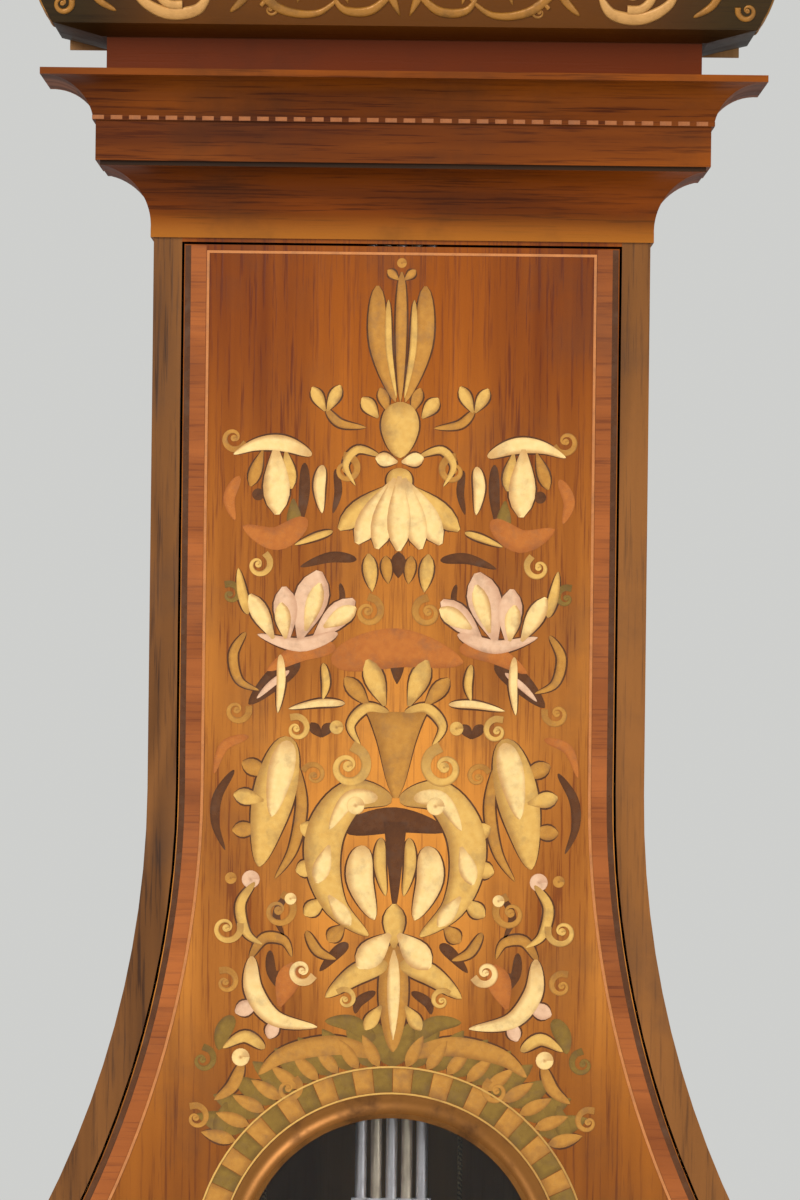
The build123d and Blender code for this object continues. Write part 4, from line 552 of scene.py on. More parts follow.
def smooth_line(points):
    """A rounded line that passes through every point, made of cubic pieces."""
    if len(points) == 2:
        (x0, z0), (x1, z1) = points
        return [(x0 + (x1 - x0) * k / STEPS, z0 + (z1 - z0) * k / STEPS) for k in range(STEPS + 1)]
    ends = [points[0], *points, points[-1]]
    line = []
    for i in range(1, len(ends) - 2):
        for k in range(STEPS):
            t = k / STEPS
            line.append(tuple(
                0.5 * (2 * b + (c - a) * t + (2 * a - 5 * b + 4 * c - d) * t * t
                       + (3 * b - a - 3 * c + d) * t ** 3)
                for a, b, c, d in zip(*ends[i - 1:i + 3])))
    return [*line, points[-1]]


def swell(kind, t):
    """The share of the full width at t along a stroke."""
    if kind == "leaf":
        return math.sin(math.pi * min(t * 0.98 + 0.01, 1.0) ** 0.8) ** 0.75
    if kind == "tail":
        return max(1.0 - t, 0.03) ** 0.7
    return math.sin(math.pi * (0.08 + 0.9 * t) ** 1.5) ** 0.7


def ray(x, z, reach, angle):
    """The place that lies at a reach and an angle from another."""
    return x + reach * math.cos(angle), z + reach * math.sin(angle)


def meshed(shape, name, material):
    """An object of one material made from a mesh that was built up face by face."""
    bmesh.ops.recalc_face_normals(shape, faces=shape.faces)
    mesh = bpy.data.meshes.new(name)
    shape.to_mesh(mesh)
    shape.free()
    mesh.materials.append(material)
    print(name, "faces:", len(mesh.polygons))
    return new_object(name, mesh)


def drawing(text, unit=1000):
    """Reads strokes, one on a line: labels, width, points; a unit of 1000 reads millimetres."""
    for line in text.strip().splitlines():
        words = line.split()
        labels = [word for word in words if "," not in word]
        points = [tuple(float(v) / unit for v in word.split(",")) for word in words if "," in word]
        yield *labels[:-1], float(labels[-1]) / unit, points


print("a stroke of three points has", len(smooth_line([(0, 0), (1, 1), (2, 0)])), "places")

# %% Flat slips
class Slips:
    """Collects flat slips of one wood into a single mesh on an upright front."""

    ACROSS = (0.0, 1.0, 1.0, 0.0)
    ROUNDED = 0
    SUNK, STAGGER, STAGGERS = 0.0002, 0.000002, 12
    THINNEST = 0.00012
    VOLUTE_LIFT, TIGHTENS, EYE, PER_TURN = 0.000024, 0.85, 0.26, 10
    PINHOLE = 0.02

    def __init__(self, front, rise):
        self.mesh = bmesh.new()
        self.uv = self.mesh.loops.layers.uv.new("run")
        self.front = front
        self.rise = rise
        self.count = 0

    def section(self, a, b, lift):
        """The corners of a slip between two edge points; neighbours differ a hair in height."""
        top = self.front - self.rise - lift - self.STAGGER * (self.count % self.STAGGERS)
        low = self.front + self.SUNK
        return (a[0], top, a[1]), (b[0], top, b[1]), (b[0], low, b[1]), (a[0], low, a[1])

    def strip(self, left, right, lift=0.0):
        """A closed slip between two edge lines."""
        rows = [[self.mesh.verts.new(corner) for corner in self.section(a, b, lift)]
                for a, b in zip(left, right)]
        self.count += 1
        around, count = len(rows[0]), len(rows) - 1
        for i in range(count):
            for j in range(around):
                k = (j + 1) % around
                face = self.mesh.faces.new((rows[i][j], rows[i][k], rows[i + 1][k], rows[i + 1][j]))
                face.smooth = j < self.ROUNDED
                for loop, (v, u) in zip(face.loops, ((i, j), (i, k), (i + 1, k), (i + 1, j))):
                    loop[self.uv].uv = (self.ACROSS[u], v / count)
        self.mesh.faces.new(rows[0][::-1])
        self.mesh.faces.new(rows[-1])

    def stroke(self, points, width, kind="leaf", flip=False, lift=0.0):
        """A tapered slip along the smooth line through the points, in metres."""
        line = smooth_line([(-x, z) if flip else (x, z) for x, z in points])
        left, right = [], []
        for i, (x, z) in enumerate(line):
            (x0, z0), (x1, z1) = line[max(i - 1, 0)], line[min(i + 1, len(line) - 1)]
            dx, dz = x1 - x0, z1 - z0
            length = math.hypot(dx, dz) or 1.0
            half = max(width / 2 * swell(kind, i / (len(line) - 1)), self.THINNEST)
            left.append((x - dz / length * half, z + dx / length * half))
            right.append((x + dz / length * half, z - dx / length * half))
        self.strip(left, right, lift)

    def ring(self, x, z, inner, outer, start, end, count=48):
        """A part of a flat ring, from one angle to the other."""
        angles = [math.radians(start + (end - start) * k / count) for k in range(count + 1)]
        inner = max(inner, outer * self.PINHOLE)
        self.strip([ray(x, z, outer, a) for a in angles], [ray(x, z, inner, a) for a in angles])

    def disc(self, x, z, radius, count=18):
        """A round slip."""
        self.ring(x, z, 0.0, radius, 0, 360, count)

    def volute(self, x, z, radius, turns, start, width, flip=False):
        """A scroll that winds inwards from the start angle to its eye."""
        steps = int(turns * self.PER_TURN)
        points = []
        for k in range(steps + 1):
            t = k / steps
            points.append(ray(x, z, radius * (1 - self.TIGHTENS * t),
                              math.radians(start + 360 * turns * t)))
        self.stroke(points, width, "tail", flip, self.VOLUTE_LIFT)
        self.disc(-x if flip else x, z, radius * self.EYE, 12)

    def finish(self, name, body, material, lay=None):
        """Turns what was collected into a piece that rides on a body, laid where the rule says."""
        for vert in self.mesh.verts if lay else ():
            vert.co = lay(vert.co.x, self.front - vert.co.y, vert.co.z)
        piece = meshed(self.mesh, name, material)
        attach(piece, body)
        return piece


print("a flat slip has", len(Slips.ACROSS), "corners across")

# %% [markdown]
# ## Inlay woods
# Holly is almost white, box is yellow, satinwood golden. Pale woods are scorched in hot sand
# along one edge to shade a leaf. Green-stained sycamore and a rosy fruitwood give the leaves and
# flowers, and a dark walnut draws the shadows between. The material reads the slip's own UV map
# for all of that.

# %% Inlay materials
SMOKE = (0.12, 0.05, 0.015, 1)
CORE, EDGE_FROM, EDGE_FULL = 0.42, 0.22, 0.6
ROOT_END, ROOT_SHARE = 0.35, 0.8


def inlay_wood(name, light, dark, scorch, amount):
    """A thin wood with streaks, scorched along its edges and at the root of the stroke."""
    tree, shader = new_material(name)
    across, down, _ = split(tree, add_node(tree, "ShaderNodeUVMap", uv_map="run").outputs[0])
    streaks = noise(tree, object_place(tree), 260.0, detail=3.0)
    base = blend_colours(tree, streaks, linear(light), linear(dark))
    edge = number(tree, "ABSOLUTE", number(tree, "SUBTRACT", across, CORE))
    burnt = number(tree, "MAXIMUM", smooth_share(tree, edge, EDGE_FROM, EDGE_FULL, amount),
                   smooth_share(tree, down, ROOT_END, 0.0, amount * ROOT_SHARE))
    old = group_node(tree, age, Color=blend_colours(tree, burnt, base, linear(scorch)),
                     Grime=SMOKE, Amount=0.35, Size=90.0, Gloss=0.26)
    fill(tree, shader, {"Base Color": old["Color"], "Roughness": old["Roughness"],
                        "Coat Weight": 0.5, "Coat Roughness": POLISH_ROUGH})
    bumped(tree, shader, streaks, 0.0001)
    return MATERIALS[name]


INLAY_WOODS = {name: inlay_wood(name + "_inlay", *looks) for name, *looks in (
    ("umber", (106, 60, 20), (78, 40, 12), (50, 24, 8), 0.4),
    ("olive", (150, 116, 42), (118, 86, 28), (84, 56, 18), 0.5),
    ("orange", (198, 118, 44), (172, 92, 30), (128, 62, 20), 0.4),
    ("satin", (206, 146, 60), (172, 112, 38), (116, 66, 18), 0.5),
    ("rosy", (238, 196, 158), (216, 166, 126), (172, 112, 78), 0.5),
    ("box", (234, 188, 100), (208, 154, 68), (136, 80, 26), 0.65),
    ("holly", (252, 220, 152), (236, 190, 112), (170, 104, 42), 0.7))}
# A pale string that stands for the painted highlight on the cornice's fillet.
painted_highlight_string = inlay_wood("painted_highlight_string_inlay", (176, 108, 60), (148, 86, 42), (120, 66, 30), 0.3)
string_wood = inlay_wood("string_inlay", (212, 138, 78), (188, 114, 58), (150, 84, 40), 0.2)
print("inlay woods:", list(INLAY_WOODS))

# %% [markdown]
# ## The design on the door
# The photograph is blurred, so the design is drawn as what it reads as: a plume over a shell, two
# hanging tassels, a pair of rosy flowers, an urn between volutes, a wreath, and a stem between
# scrolls above the window. Places are given in the photograph's pixels, outwards from the clock's
# axis and down from the picture's top, because one pixel is 0.6 mm there. Most strokes come in
# mirrored pairs, as the two halves of a sawn packet of veneers do. A stroke that touches the axis
# has no twin. A line names the wood, the shape, the width and the points that the stroke runs
# through.

# %% The upper half of the design
UPPER_DESIGN = """
satin leaf 11 0,272 0,335 0,402
satin leaf 19 24,286 22,345 5,402
box leaf 7 13,300 12,350 4,398
satin petal 8 3,280 14,270
box petal 12 73,412 60,386
box petal 12 75,412 88,388
satin leaf 8 74,410 60,424 34,428
box petal 14 22,418 38,398
satin petal 11 12,412 20,388
box leaf 38 0,402 0,430 0,458
umber leaf 8 0,416 0,446
holly petal 14 2,462 24,458
box leaf 8 20,456 42,450 54,466 44,486
box leaf 26 0,468 0,484 0,504
box petal 22 10,486 60,530
holly petal 25 8,482 42,544
holly petal 24 5,478 22,549
holly petal 24 0,476 0,551
umber leaf 3 4,494 11,546
umber leaf 3 9,496 32,542
umber leaf 3 13,496 50,532
box leaf 14 30,554 26,592
satin leaf 11 13,556 10,584
umber leaf 15 0,552 0,578
holly leaf 12 77,466 80,488 77,514
umber leaf 8 64,470 61,492 66,514
umber leaf 11 95,464 95,494 99,528
holly leaf 16 88,456 108,447 126,444 146,447 166,456
holly petal 27 124,448 122,516
box petal 14 114,452 108,490
satin petal 12 137,452 149,488
umber leaf 3 121,466 119,504
orange leaf 24 92,520 122,540 156,528
olive petal 15 106,500 104,534
box leaf 7 66,532 84,538 104,546
umber leaf 11 42,560 68,558 98,568
orange leaf 12 160,478 170,500 164,522
rosy petal 34 98,640 79,572
rosy petal 24 84,640 44,600
rosy petal 24 110,642 114,588
rosy leaf 14 60,634 98,646 140,636
holly petal 18 74,628 42,608
holly petal 17 92,632 78,584
holly petal 16 112,640 117,604
holly petal 18 124,640 148,596
umber leaf 6 58,584 56,600 66,616
box leaf 10 150,616 156,594 160,570
orange leaf 40 -66,662 0,648 66,662
orange leaf 20 62,648 94,652 130,672
box petal 20 12,706 30,660
satin petal 15 28,706 52,678
umber leaf 16 0,640 0,684
holly leaf 8 52,704 78,704 108,710
umber leaf 22 98,662 122,680 148,706
rosy leaf 7 108,672 126,686 140,700
holly leaf 9 117,656 116,684 119,714
box leaf 8 74,664 71,684 74,700
satin leaf 9 152,634 164,656 158,682 138,692
"""
print("strokes in the upper half:", len(list(drawing(UPPER_DESIGN, 1))))

# %% The lower half of the design
LOWER_DESIGN = """
umber petal 11 75,738 66,724
umber petal 11 75,738 86,724
satin tail 62 0,712 0,742 0,798
olive tail 26 0,718 0,794
box leaf 10 8,712 30,708 46,726 36,746
box leaf 8 18,790 32,800 50,796
box leaf 42 108,738 118,780 128,824 136,868
holly leaf 26 108,742 116,776 124,818
umber leaf 3 112,752 122,796 132,850
satin petal 16 126,776 154,764
box petal 16 132,802 162,796
satin petal 15 136,830 163,832
umber leaf 10 162,772 178,798 180,826 170,852
satin leaf 11 100,764 94,806 102,850 120,880
orange leaf 10 148,738 172,748 182,776
box leaf 38 4,800 42,796 68,828 72,868 58,908 26,936
holly leaf 17 18,798 46,800 66,830
holly petal 18 66,846 78,884
holly petal 16 66,896 44,926
box petal 17 72,838 95,826
box petal 17 76,866 99,872
box petal 16 70,900 90,916
satin petal 15 50,926 66,942
umber leaf 3 44,812 62,838 68,868 58,900 40,922
umber leaf 26 -52,830 0,820 52,830
umber tail 24 0,822 0,864 0,910
holly leaf 27 32,846 35,880 20,920
box leaf 12 14,838 15,866 9,896
box petal 22 0,948 0,904
holly petal 27 4,934 36,968
satin leaf 9 88,932 76,952 58,960
umber leaf 12 46,944 58,954 74,972
box leaf 21 6,964 36,974 68,998
satin leaf 30 0,944 0,1000 0,1052
holly leaf 13 0,950 0,1040
umber leaf 10 18,992 34,1002 38,1014
box petal 14 12,1006 28,1030
olive leaf 17 18,1040 42,1024 68,1022
holly leaf 19 142,958 140,992 118,1020 76,1028
rosy petal 16 134,1004 158,1014
rosy petal 14 116,1018 124,1040
orange petal 24 114,1008 100,964
satin leaf 10 144,960 130,940 110,942 102,958
umber leaf 10 124,952 122,974 110,994
satin leaf 20 14,1056 58,1046 108,1056 134,1076
box leaf 12 128,1050 148,1038 170,1050
olive leaf 17 160,1018 170,1034 174,1052
satin leaf 12 150,1064 160,1088 178,1102
olive petal 16 166,1104 174,1138
box leaf 10 140,884 154,906 148,934 132,946
umber leaf 8 108,896 118,916 110,938
"""
print("strokes in the lower half:", len(list(drawing(LOWER_DESIGN, 1))))

# %% Rounds and scrolls
ROUNDS = [
    ("satin", 0, 263, 5), ("umber", 141, 496, 6), ("rosy", 144, 881, 9), ("umber", 116, 978, 6),
    ("holly", 152, 1059, 9), ("box", 60, 728, 7), ("holly", 40, 806, 9), ("holly", 104, 900, 6),
    ("satin", 164, 880, 6),
]
SCROLLS = [
    ("satin", 54, 470, 14, 1.3, 80, 8), ("satin", 166, 440, 13, 1.2, 200, 7),
    ("box", 140, 566, 13, 1.2, 120, 7), ("satin", 30, 612, 15, 1.4, 90, 8),
    ("olive", 168, 596, 11, 1.1, 60, 7), ("box", 100, 730, 13, 1.3, 60, 7),
    ("satin", 160, 712, 13, 1.2, 160, 7), ("box", 48, 767, 21, 1.4, 100, 11),
    ("satin", 82, 776, 12, 1.2, 20, 6), ("satin", 116, 912, 17, 1.4, 100, 8),
    ("holly", 92, 972, 13, 1.3, 200, 8), ("box", 168, 930, 15, 1.3, 160, 7),
    ("satin", 168, 984, 13, 1.2, 60, 7), ("box", 48, 1000, 11, 1.2, 40, 6),
    ("olive", 190, 1062, 13, 1.2, 90, 7), ("satin", 104, 1090, 13, 1.3, 120, 7),
    ("satin", 196, 1120, 13, 1.2, 60, 7),
]
print("rounds:", len(ROUNDS), "scrolls:", len(SCROLLS))

# %% [markdown]
# The strokes are sorted by wood, one mesh for each. Each wood stands a twentieth of a millimetre
# above the one before, so that a pale leaf lies over its dark ground and no two slips share a
# face. A pale slip gets a darker twin under it, a millimetre larger all round, as the line that a
# cutter scorches or engraves round a leaf.

# %% Cutting the design
CORNICE_TOP, CORNICE_ROW = 1.850, 75
PALE_WOODS = ("satin", "rosy", "box", "holly")
OUTLINE, OUTLINED_FROM = 0.0022, 0.003
LAYER = 0.00005
packets = {wood: Slips(DOOR_FRONT, rise=LAYER * (k + 1)) for k, wood in enumerate(INLAY_WOODS)}


def on_door(out, down):
    """A place on the door from its pixels: outwards from the axis, down from the picture's top."""
    return out * PIXEL, CORNICE_TOP - (down - CORNICE_ROW) * PIXEL


def laid(wood, places, width, kind="leaf", paired=True):
    """A slip, its mirror twin if it has one, and the scorched line round a pale slip."""
    for flip in (False, True) if paired else (False,):
        packets[wood].stroke(places, width, kind, flip)
        if wood in PALE_WOODS and width > OUTLINED_FROM:
            packets["umber"].stroke(places, width + OUTLINE, kind, flip)


for wood, kind, width, points in (*drawing(UPPER_DESIGN, 1), *drawing(LOWER_DESIGN, 1)):
    off_axis = all(out for out, _ in points)
    laid(wood, [on_door(*point) for point in points], width * PIXEL, kind, off_axis)
for wood, out, down, radius in ROUNDS:
    x, z = on_door(out, down)
    for side in (1, -1) if out else (1,):
        packets[wood].disc(side * x, z, radius * PIXEL)
for wood, out, down, radius, turns, start, width in SCROLLS:
    for flip in (False, True):
        packets[wood].volute(*on_door(out, down), radius * PIXEL, turns, start, width * PIXEL, flip)
print("woods cut:", list(packets))

# %% [markdown]
# ## Round the window and below it
# A band of little wedges, satinwood and olive in turn, frames the window, with leaves fanned over
# its top. Below the window, outside the photograph, the door repeats the scrolls that stand above
# it.

# %% The window's band and the lower scrolls
bezel_low, bezel_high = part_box("window_bezel")
WINDOW_Z = (bezel_low[2] + bezel_high[2]) / 2
BAND_INNER = (bezel_high[0] - bezel_low[0]) / 2 + 0.0003
BAND_OUTER = BAND_INNER + 0.017
EDGE_LINE, WEDGE_IN = 0.0012, 0.0014
WEDGES, WEDGE_PITCH, WEDGE_SPAN = 60, 6, 5.8
FAN_LEAVES, FAN_PITCH, FAN_LEAN = 9, 6, math.radians(24)
BELOW_WINDOW = """
holly leaf 8 94,-122 92,-142 74,-158 48,-164
orange petal 11 70,-150 60,-126
box leaf 9 5,-160 24,-158 42,-146
holly petal 12 4,-184 20,-164
box leaf 8 4,-200 30,-206 46,-226 36,-246
satin petal 10 4,-236 16,-266
olive leaf 8 52,-186 78,-190 96,-176
umber leaf 5 16,-212 26,-226 20,-242
"""
for k in range(WEDGES):
    packets[("satin", "olive")[k % 2]].ring(
        0, WINDOW_Z, BAND_INNER + WEDGE_IN, BAND_OUTER - WEDGE_IN,
        WEDGE_PITCH * k, WEDGE_PITCH * k + WEDGE_SPAN, 3)
packets["box"].ring(0, WINDOW_Z, BAND_INNER, BAND_INNER + EDGE_LINE, 0, 360, 96)
packets["box"].ring(0, WINDOW_Z, BAND_OUTER - EDGE_LINE, BAND_OUTER, 0, 360, 96)
for k in range(FAN_LEAVES):
    for wood, turn, reach, width in (("olive", 0, 0.030, 0.013), ("satin", 4, 0.021, 0.008)):
        angle = math.radians(90 - FAN_PITCH * k - turn)
        start = ray(0, WINDOW_Z, BAND_OUTER, angle)
        laid(wood, [start, ray(*start, reach, angle - FAN_LEAN)], width)
for wood, kind, width, points in drawing(BELOW_WINDOW):
    laid(wood, [(x, WINDOW_Z + z) for x, z in points], width, kind)
packets["satin"].stroke([(0, WINDOW_Z - drop) for drop in (0.132, 0.200, 0.290)], width=0.010)
for wood, packet in packets.items():
    packet.finish("door_inlay_" + wood, "trunk_door", INLAY_WOODS[wood])
print("window centre:", round(WINDOW_Z, 4), "band:", round(BAND_INNER, 4), round(BAND_OUTER, 4))

# %% [markdown]
# ## Stringing and crossbanding
# A pale line, the string, follows the door's edge a finger's width inside it, and the strip
# outside it is veneered across the grain. Both follow the case's outline, which is a straight
# neck and four arcs that meet without a corner, so a line at a constant distance inside it is
# made of the same arcs.

# %% The outline of the case
NECK_HALF, BELLY_HALF, FOOT_HALF = 0.149, 0.2408275, 0.1714722
SHOULDER_Z, BELLY_Z = 1.420, 1.030023
SHOULDER_R, UPPER_R, LOWER_R, FOOT_R = 0.571, 0.303, 0.450, 0.700
SHOULDER_TURN, HIP_TURN = 26.5, 20.0
ARC_STEPS = 16


def edge_line(inset, top, bottom):
    """The right edge of the case from the top down, at a distance inside it."""
    line = [(NECK_HALF - inset, top), (NECK_HALF - inset, SHOULDER_Z)]
    arcs = ((NECK_HALF + SHOULDER_R, SHOULDER_Z, -SHOULDER_R - inset, 0, SHOULDER_TURN),
            (BELLY_HALF - UPPER_R, BELLY_Z, UPPER_R - inset, SHOULDER_TURN, 0),
            (BELLY_HALF - LOWER_R, BELLY_Z, LOWER_R - inset, 0, -HIP_TURN),
            (FOOT_HALF + FOOT_R, BELLY_Z - (LOWER_R + FOOT_R) * math.sin(math.radians(HIP_TURN)),
             -FOOT_R - inset, -HIP_TURN, 0))
    for x, z, reach, start, end in arcs:
        line += [ray(x, z, reach, math.radians(start + (end - start) * k / ARC_STEPS))
                 for k in range(1, ARC_STEPS + 1)]
    kept = [line[0]]
    for (x0, z0), (x1, z1) in zip(line, line[1:]):
        if z1 <= bottom:
            kept.append((x0 + (x1 - x0) * ((z0 - bottom) / (z0 - z1)), bottom))
            break
        kept.append((x1, z1))
    return kept


print("edge at the foot:", [round(v, 4) for v in edge_line(0, 1.7, 0.70)[-1]])

# %% String and crossband on the door
door_low, door_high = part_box("trunk_door")
STRING_IN, STRING_WIDE, BAND_IN, DARK_LINE = 0.032, 0.0016, 0.019, 0.0035
STRING_DROP, STRING_LIFT, BAND_SHORT, BAND_GAP = 0.0035, 0.012, 0.0006, 0.0003
string_top, string_low = door_high[2] - STRING_DROP, door_low[2] + STRING_LIFT


def edge_strip(slips, inner, outer, top, bottom):
    """A strip down both sides between two distances from the case's edge."""
    near, far = edge_line(outer, top, bottom), edge_line(inner, top, bottom)
    slips.strip(near, far)
    slips.strip([(-x, z) for x, z in far], [(-x, z) for x, z in near])


string = Slips(DOOR_FRONT, rise=0.00045)
edge_strip(string, STRING_IN, STRING_IN + STRING_WIDE, string_top, string_low)
for z in (string_top, string_low + STRING_WIDE):
    half = edge_line(STRING_IN, door_high[2], z)[-1][0]
    string.strip([(-half, z), (half, z)], [(-half, z - STRING_WIDE), (half, z - STRING_WIDE)])
string.finish("door_string", "trunk_door", string_wood)
for name, rise, inner, outer, wood in (
        ("door_crossband", 0.00008, BAND_IN + DARK_LINE, STRING_IN - BAND_GAP,
         MATERIALS["crossband_walnut"]),
        ("door_dark_line", 0.00012, BAND_IN, BAND_IN + DARK_LINE, INLAY_WOODS["umber"])):
    band = Slips(DOOR_FRONT, rise)
    edge_strip(band, inner, outer, door_high[2] - BAND_SHORT, door_low[2] + BAND_SHORT)
    band.finish(name, "trunk_door", wood)

# %% [markdown]
# ## The cornice's lines
# A dotted pale line runs round the cornice on the little step over the frieze as a painted
# highlight, and a black one under it is a painted shadow. They lie on three flat faces, so the same
# drawing is laid on the front and on both sides by a rule that takes a distance along the face, a
# height off it and a level.

# %% Rules that lay a drawing somewhere
AWAY = 1.0


def flat_side(side, reach):
    """The rule for a flat face that looks sideways."""
    return lambda u, height, z: Vector((side * (reach + height), u, z))


def lay_on(node, way):
    """The rule that drops a drawing on a node's curved skin, from the front or from one side."""
    mesh = nodes[node].data
    skin = BVHTree.FromPolygons([v.co.copy() for v in mesh.vertices],
                                [tuple(p.vertices) for p in mesh.polygons])
    start_at, aim = {"front": (lambda u, z: (u, -AWAY, z), Vector((0, 1, 0))),
                     "left": (lambda u, z: (-AWAY, u, z), Vector((1, 0, 0))),
                     "right": (lambda u, z: (AWAY, u, z), Vector((-1, 0, 0)))}[way]

    def rule(u, height, z):
        start = Vector(start_at(u, z))
        hit, normal, _, _ = skin.ray_cast(start, aim)
        if hit is None:
            hit, normal, _, _ = skin.find_nearest(start)
        if normal.dot(aim) > 0:
            normal = -normal
        return hit + normal * height

    return rule


print("rules ready")

# %% Lines round the cornice
CASE_BACK = 0.139


def cornice_line(name, out, low, high, dash, gap, material):
    """A line, dashed or whole, round the front and both sides of a step of the cornice."""
    def flat_front(u, height, z):
        return Vector((u, DOOR_FRONT - out - height, z))

    for part, start, stop, lay in (
            ("front", -NECK_HALF - out, NECK_HALF + out, flat_front),
            ("left", DOOR_FRONT - out, CASE_BACK, flat_side(-1, NECK_HALF + out)),
            ("right", DOOR_FRONT - out, CASE_BACK, flat_side(1, NECK_HALF + out))):
        line = Slips(0.0, rise=0.00015)
        count = max(round((stop - start) / (dash + gap)), 1)
        pitch = (stop - start) / count
        for k in range(count):
            a, b = start + k * pitch, start + (k + 1) * pitch - gap
            line.strip([(a, high), (b, high)], [(a, low), (b, low)])
        line.finish(f"{name}_{part}", "case", material, lay)


# Painted highlight along the fillet at the top of the fascia, as a pale dotted line.
cornice_line("cornice_highlight_dots", out=0.037, low=1.8203, high=1.8228, dash=0.007, gap=0.004,
             material=painted_highlight_string)
# Painted shadow: a black line under the lower edge of the fascia.
cornice_line("cornice_shadow_line", out=0.032, low=1.7931, high=1.7959, dash=1.0, gap=0.0,
             material=MATERIALS["ebonised_trim"])

# %% [markdown]
# ## Gilt scrolls on the hood's swelling
# The black swelling carries scrolls of gilt gesso. A scroll is a stroke again, but rounded
# across: its middle stands up and its edges touch the wood. The drawing is made flat and then
# dropped on the curved moulding along one direction, as a carver lays a paper pattern over it.

# %% Rounded strokes
class Relief(Slips):
    """Strokes with a rounded back instead of a flat one."""

    PROFILE = ((0.0, 0.0), (0.18, 0.72), (0.5, 1.0), (0.82, 0.72), (1.0, 0.0))
    ACROSS = (0.0, 0.25, 0.5, 0.75, 1.0, 1.0)
    ROUNDED = 4
    KEEL, BEDDED, STEEPEST = 0.0006, 0.0001, 0.35

    def section(self, a, b, lift):
        """A section whose middle stands up; wide strokes stand no higher than the rise."""
        crest = min(self.rise, math.hypot(a[0] - b[0], a[1] - b[1]) * self.STEEPEST) + lift
        back = [(a[0] + (b[0] - a[0]) * t, self.front - crest * h + self.BEDDED,
                 a[1] + (b[1] - a[1]) * t) for t, h in self.PROFILE]
        return *back, ((a[0] + b[0]) / 2, self.front + self.KEEL, (a[1] + b[1]) / 2)


print("relief strokes have", len(Relief.PROFILE), "points across")

# %% The scrolls
HOOD_STROKES = """
pale leaf 8 116,1896 124,1885 142,1883 158,1892 164,1908
gold leaf 6 104,1884 94,1896 98,1912 110,1920
gold leaf 6 108,1908 92,1900 74,1886 52,1884 36,1896
gold leaf 5 34,1890 42,1912 60,1926 80,1930
gold leaf 6 6,1898 20,1886 36,1886 44,1896
gold petal 6 3,1883 12,1903
gold petal 6 3,1906 10,1932
gold petal 6 14,1906 26,1924
gold petal 5 18,1902 34,1906
gold petal 6 150,1904 146,1928
gold petal 5 160,1910 162,1930
gold petal 5 118,1916 124,1932
gold petal 5 130,1918 136,1934
gold leaf 5 172,1884 184,1892 190,1908 184,1924
gold petal 5 174,1898 172,1918
gold petal 5 64,1890 60,1906
gold petal 5 74,1893 74,1909
gold petal 5 84,1898 88,1913
gold petal 4 70,1912 78,1922
gold petal 4 196,1896 200,1912
"""
HOOD_VOLUTES = [
    ("pale", 0.137, 1.900, 0.013, 1.5, 250, 0.006),
    ("gold", 0.098, 1.926, 0.009, 1.3, 200, 0.005),
    ("gold", 0.054, 1.906, 0.010, 1.4, 300, 0.005),
    ("gold", 0.204, 1.888, 0.006, 1.2, 160, 0.004),
    ("gold", 0.018, 1.916, 0.006, 1.2, 160, 0.003), ("gold", 0.080, 1.886, 0.006, 1.2, 20, 0.003),
]
SIDE_SHIFT, SIDE_REACH, FRONT_REACH = -0.006, 0.118, 0.3


def gilt_scrolls(name, lay, shift, reach, tones):
    """One face's scrolls out to a reach: each tone of gilding is its own piece."""
    for tone, material in tones.items():
        relief = Relief(0.0, rise=0.0014)
        for kind, style, width, points in drawing(HOOD_STROKES):
            if kind == tone and max(x for x, _ in points) <= reach:
                for flip in (False, True):
                    relief.stroke(points, width, style, flip)
        for kind, x, z, radius, *winding in HOOD_VOLUTES:
            if kind == tone and x + radius <= reach:
                for flip in (False, True):
                    relief.volute(x, z, radius, *winding, flip)
        relief.finish(f"{name}_{tone}", "hood", MATERIALS[material],
                              lambda u, h, z: lay(u + shift, h, z))


gilt_scrolls("hood_scrolls_front", lay_on("hood_base", "front"), 0.0, FRONT_REACH,
             {"pale": "pale_gilding", "gold": "gilding"})
for side in ("left", "right"):
    gilt_scrolls("hood_scrolls_" + side, lay_on("hood_base", side), SIDE_SHIFT, SIDE_REACH,
                 {"gold": "gilding"})

# %% [markdown]
# ## The dial
# The dial is out of the picture. Such clocks have a domed enamel dial with Roman hours and a
# track of minutes in black, inside a sheet of pressed brass. The numerals are built from bars, a
# thick stroke and a thin one with a little foot, and dropped on the dome.

# %% The bars of a numeral
dial_low, dial_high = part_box("dial")
DIAL_Z = (dial_low[2] + dial_high[2]) / 2
NUMERALS = ("XII", "I", "II", "III", "IIII", "V", "VI", "VII", "VIII", "IX", "X", "XI")
LETTER_WIDTH = {"I": 0.0046, "V": 0.0096, "X": 0.0100}
LETTER_GAP, LETTER_HIGH = 0.0012, 0.018
THICK, THIN, FOOT = 0.0027, 0.0009, 0.0008
BAR_IN, THIN_IN, HANG = 0.0014, 0.001, 0.0004
SERIF, THICK_SERIF, THIN_SERIF = 0.003, 0.0032, 0.0026


def letter_bars(letter, x):
    """The bars of one numeral letter as (x, y, x, y, width), measured from its foot."""
    wide = LETTER_WIDTH[letter] - LETTER_GAP
    low, high = x - wide / 2, x + wide / 2
    feet = {"I": ((low, high, 0), (low, high, 1)),
            "V": ((low - HANG, low + THICK_SERIF, 1), (high - THIN_SERIF, high + HANG, 1)),
            "X": ((low, low + SERIF, 0), (high - SERIF, high, 0), (low, low + SERIF, 1),
                  (high - SERIF, high, 1))}
    strokes = {"I": ((x, 0, x, 1, THICK),),
               "V": ((low + BAR_IN, 1, x, 0, THICK), (high - THIN_IN, 1, x + HANG, 0, THIN)),
               "X": ((low + BAR_IN, 1, high - BAR_IN, 0, THICK),
                     (low + BAR_IN, 0, high - BAR_IN, 1, THIN))}
    bars = [*((a, end, b, end, FOOT) for a, b, end in feet[letter]), *strokes[letter]]
    return [(x0, y0 * LETTER_HIGH, x1, y1 * LETTER_HIGH, width) for x0, y0, x1, y1, width in bars]


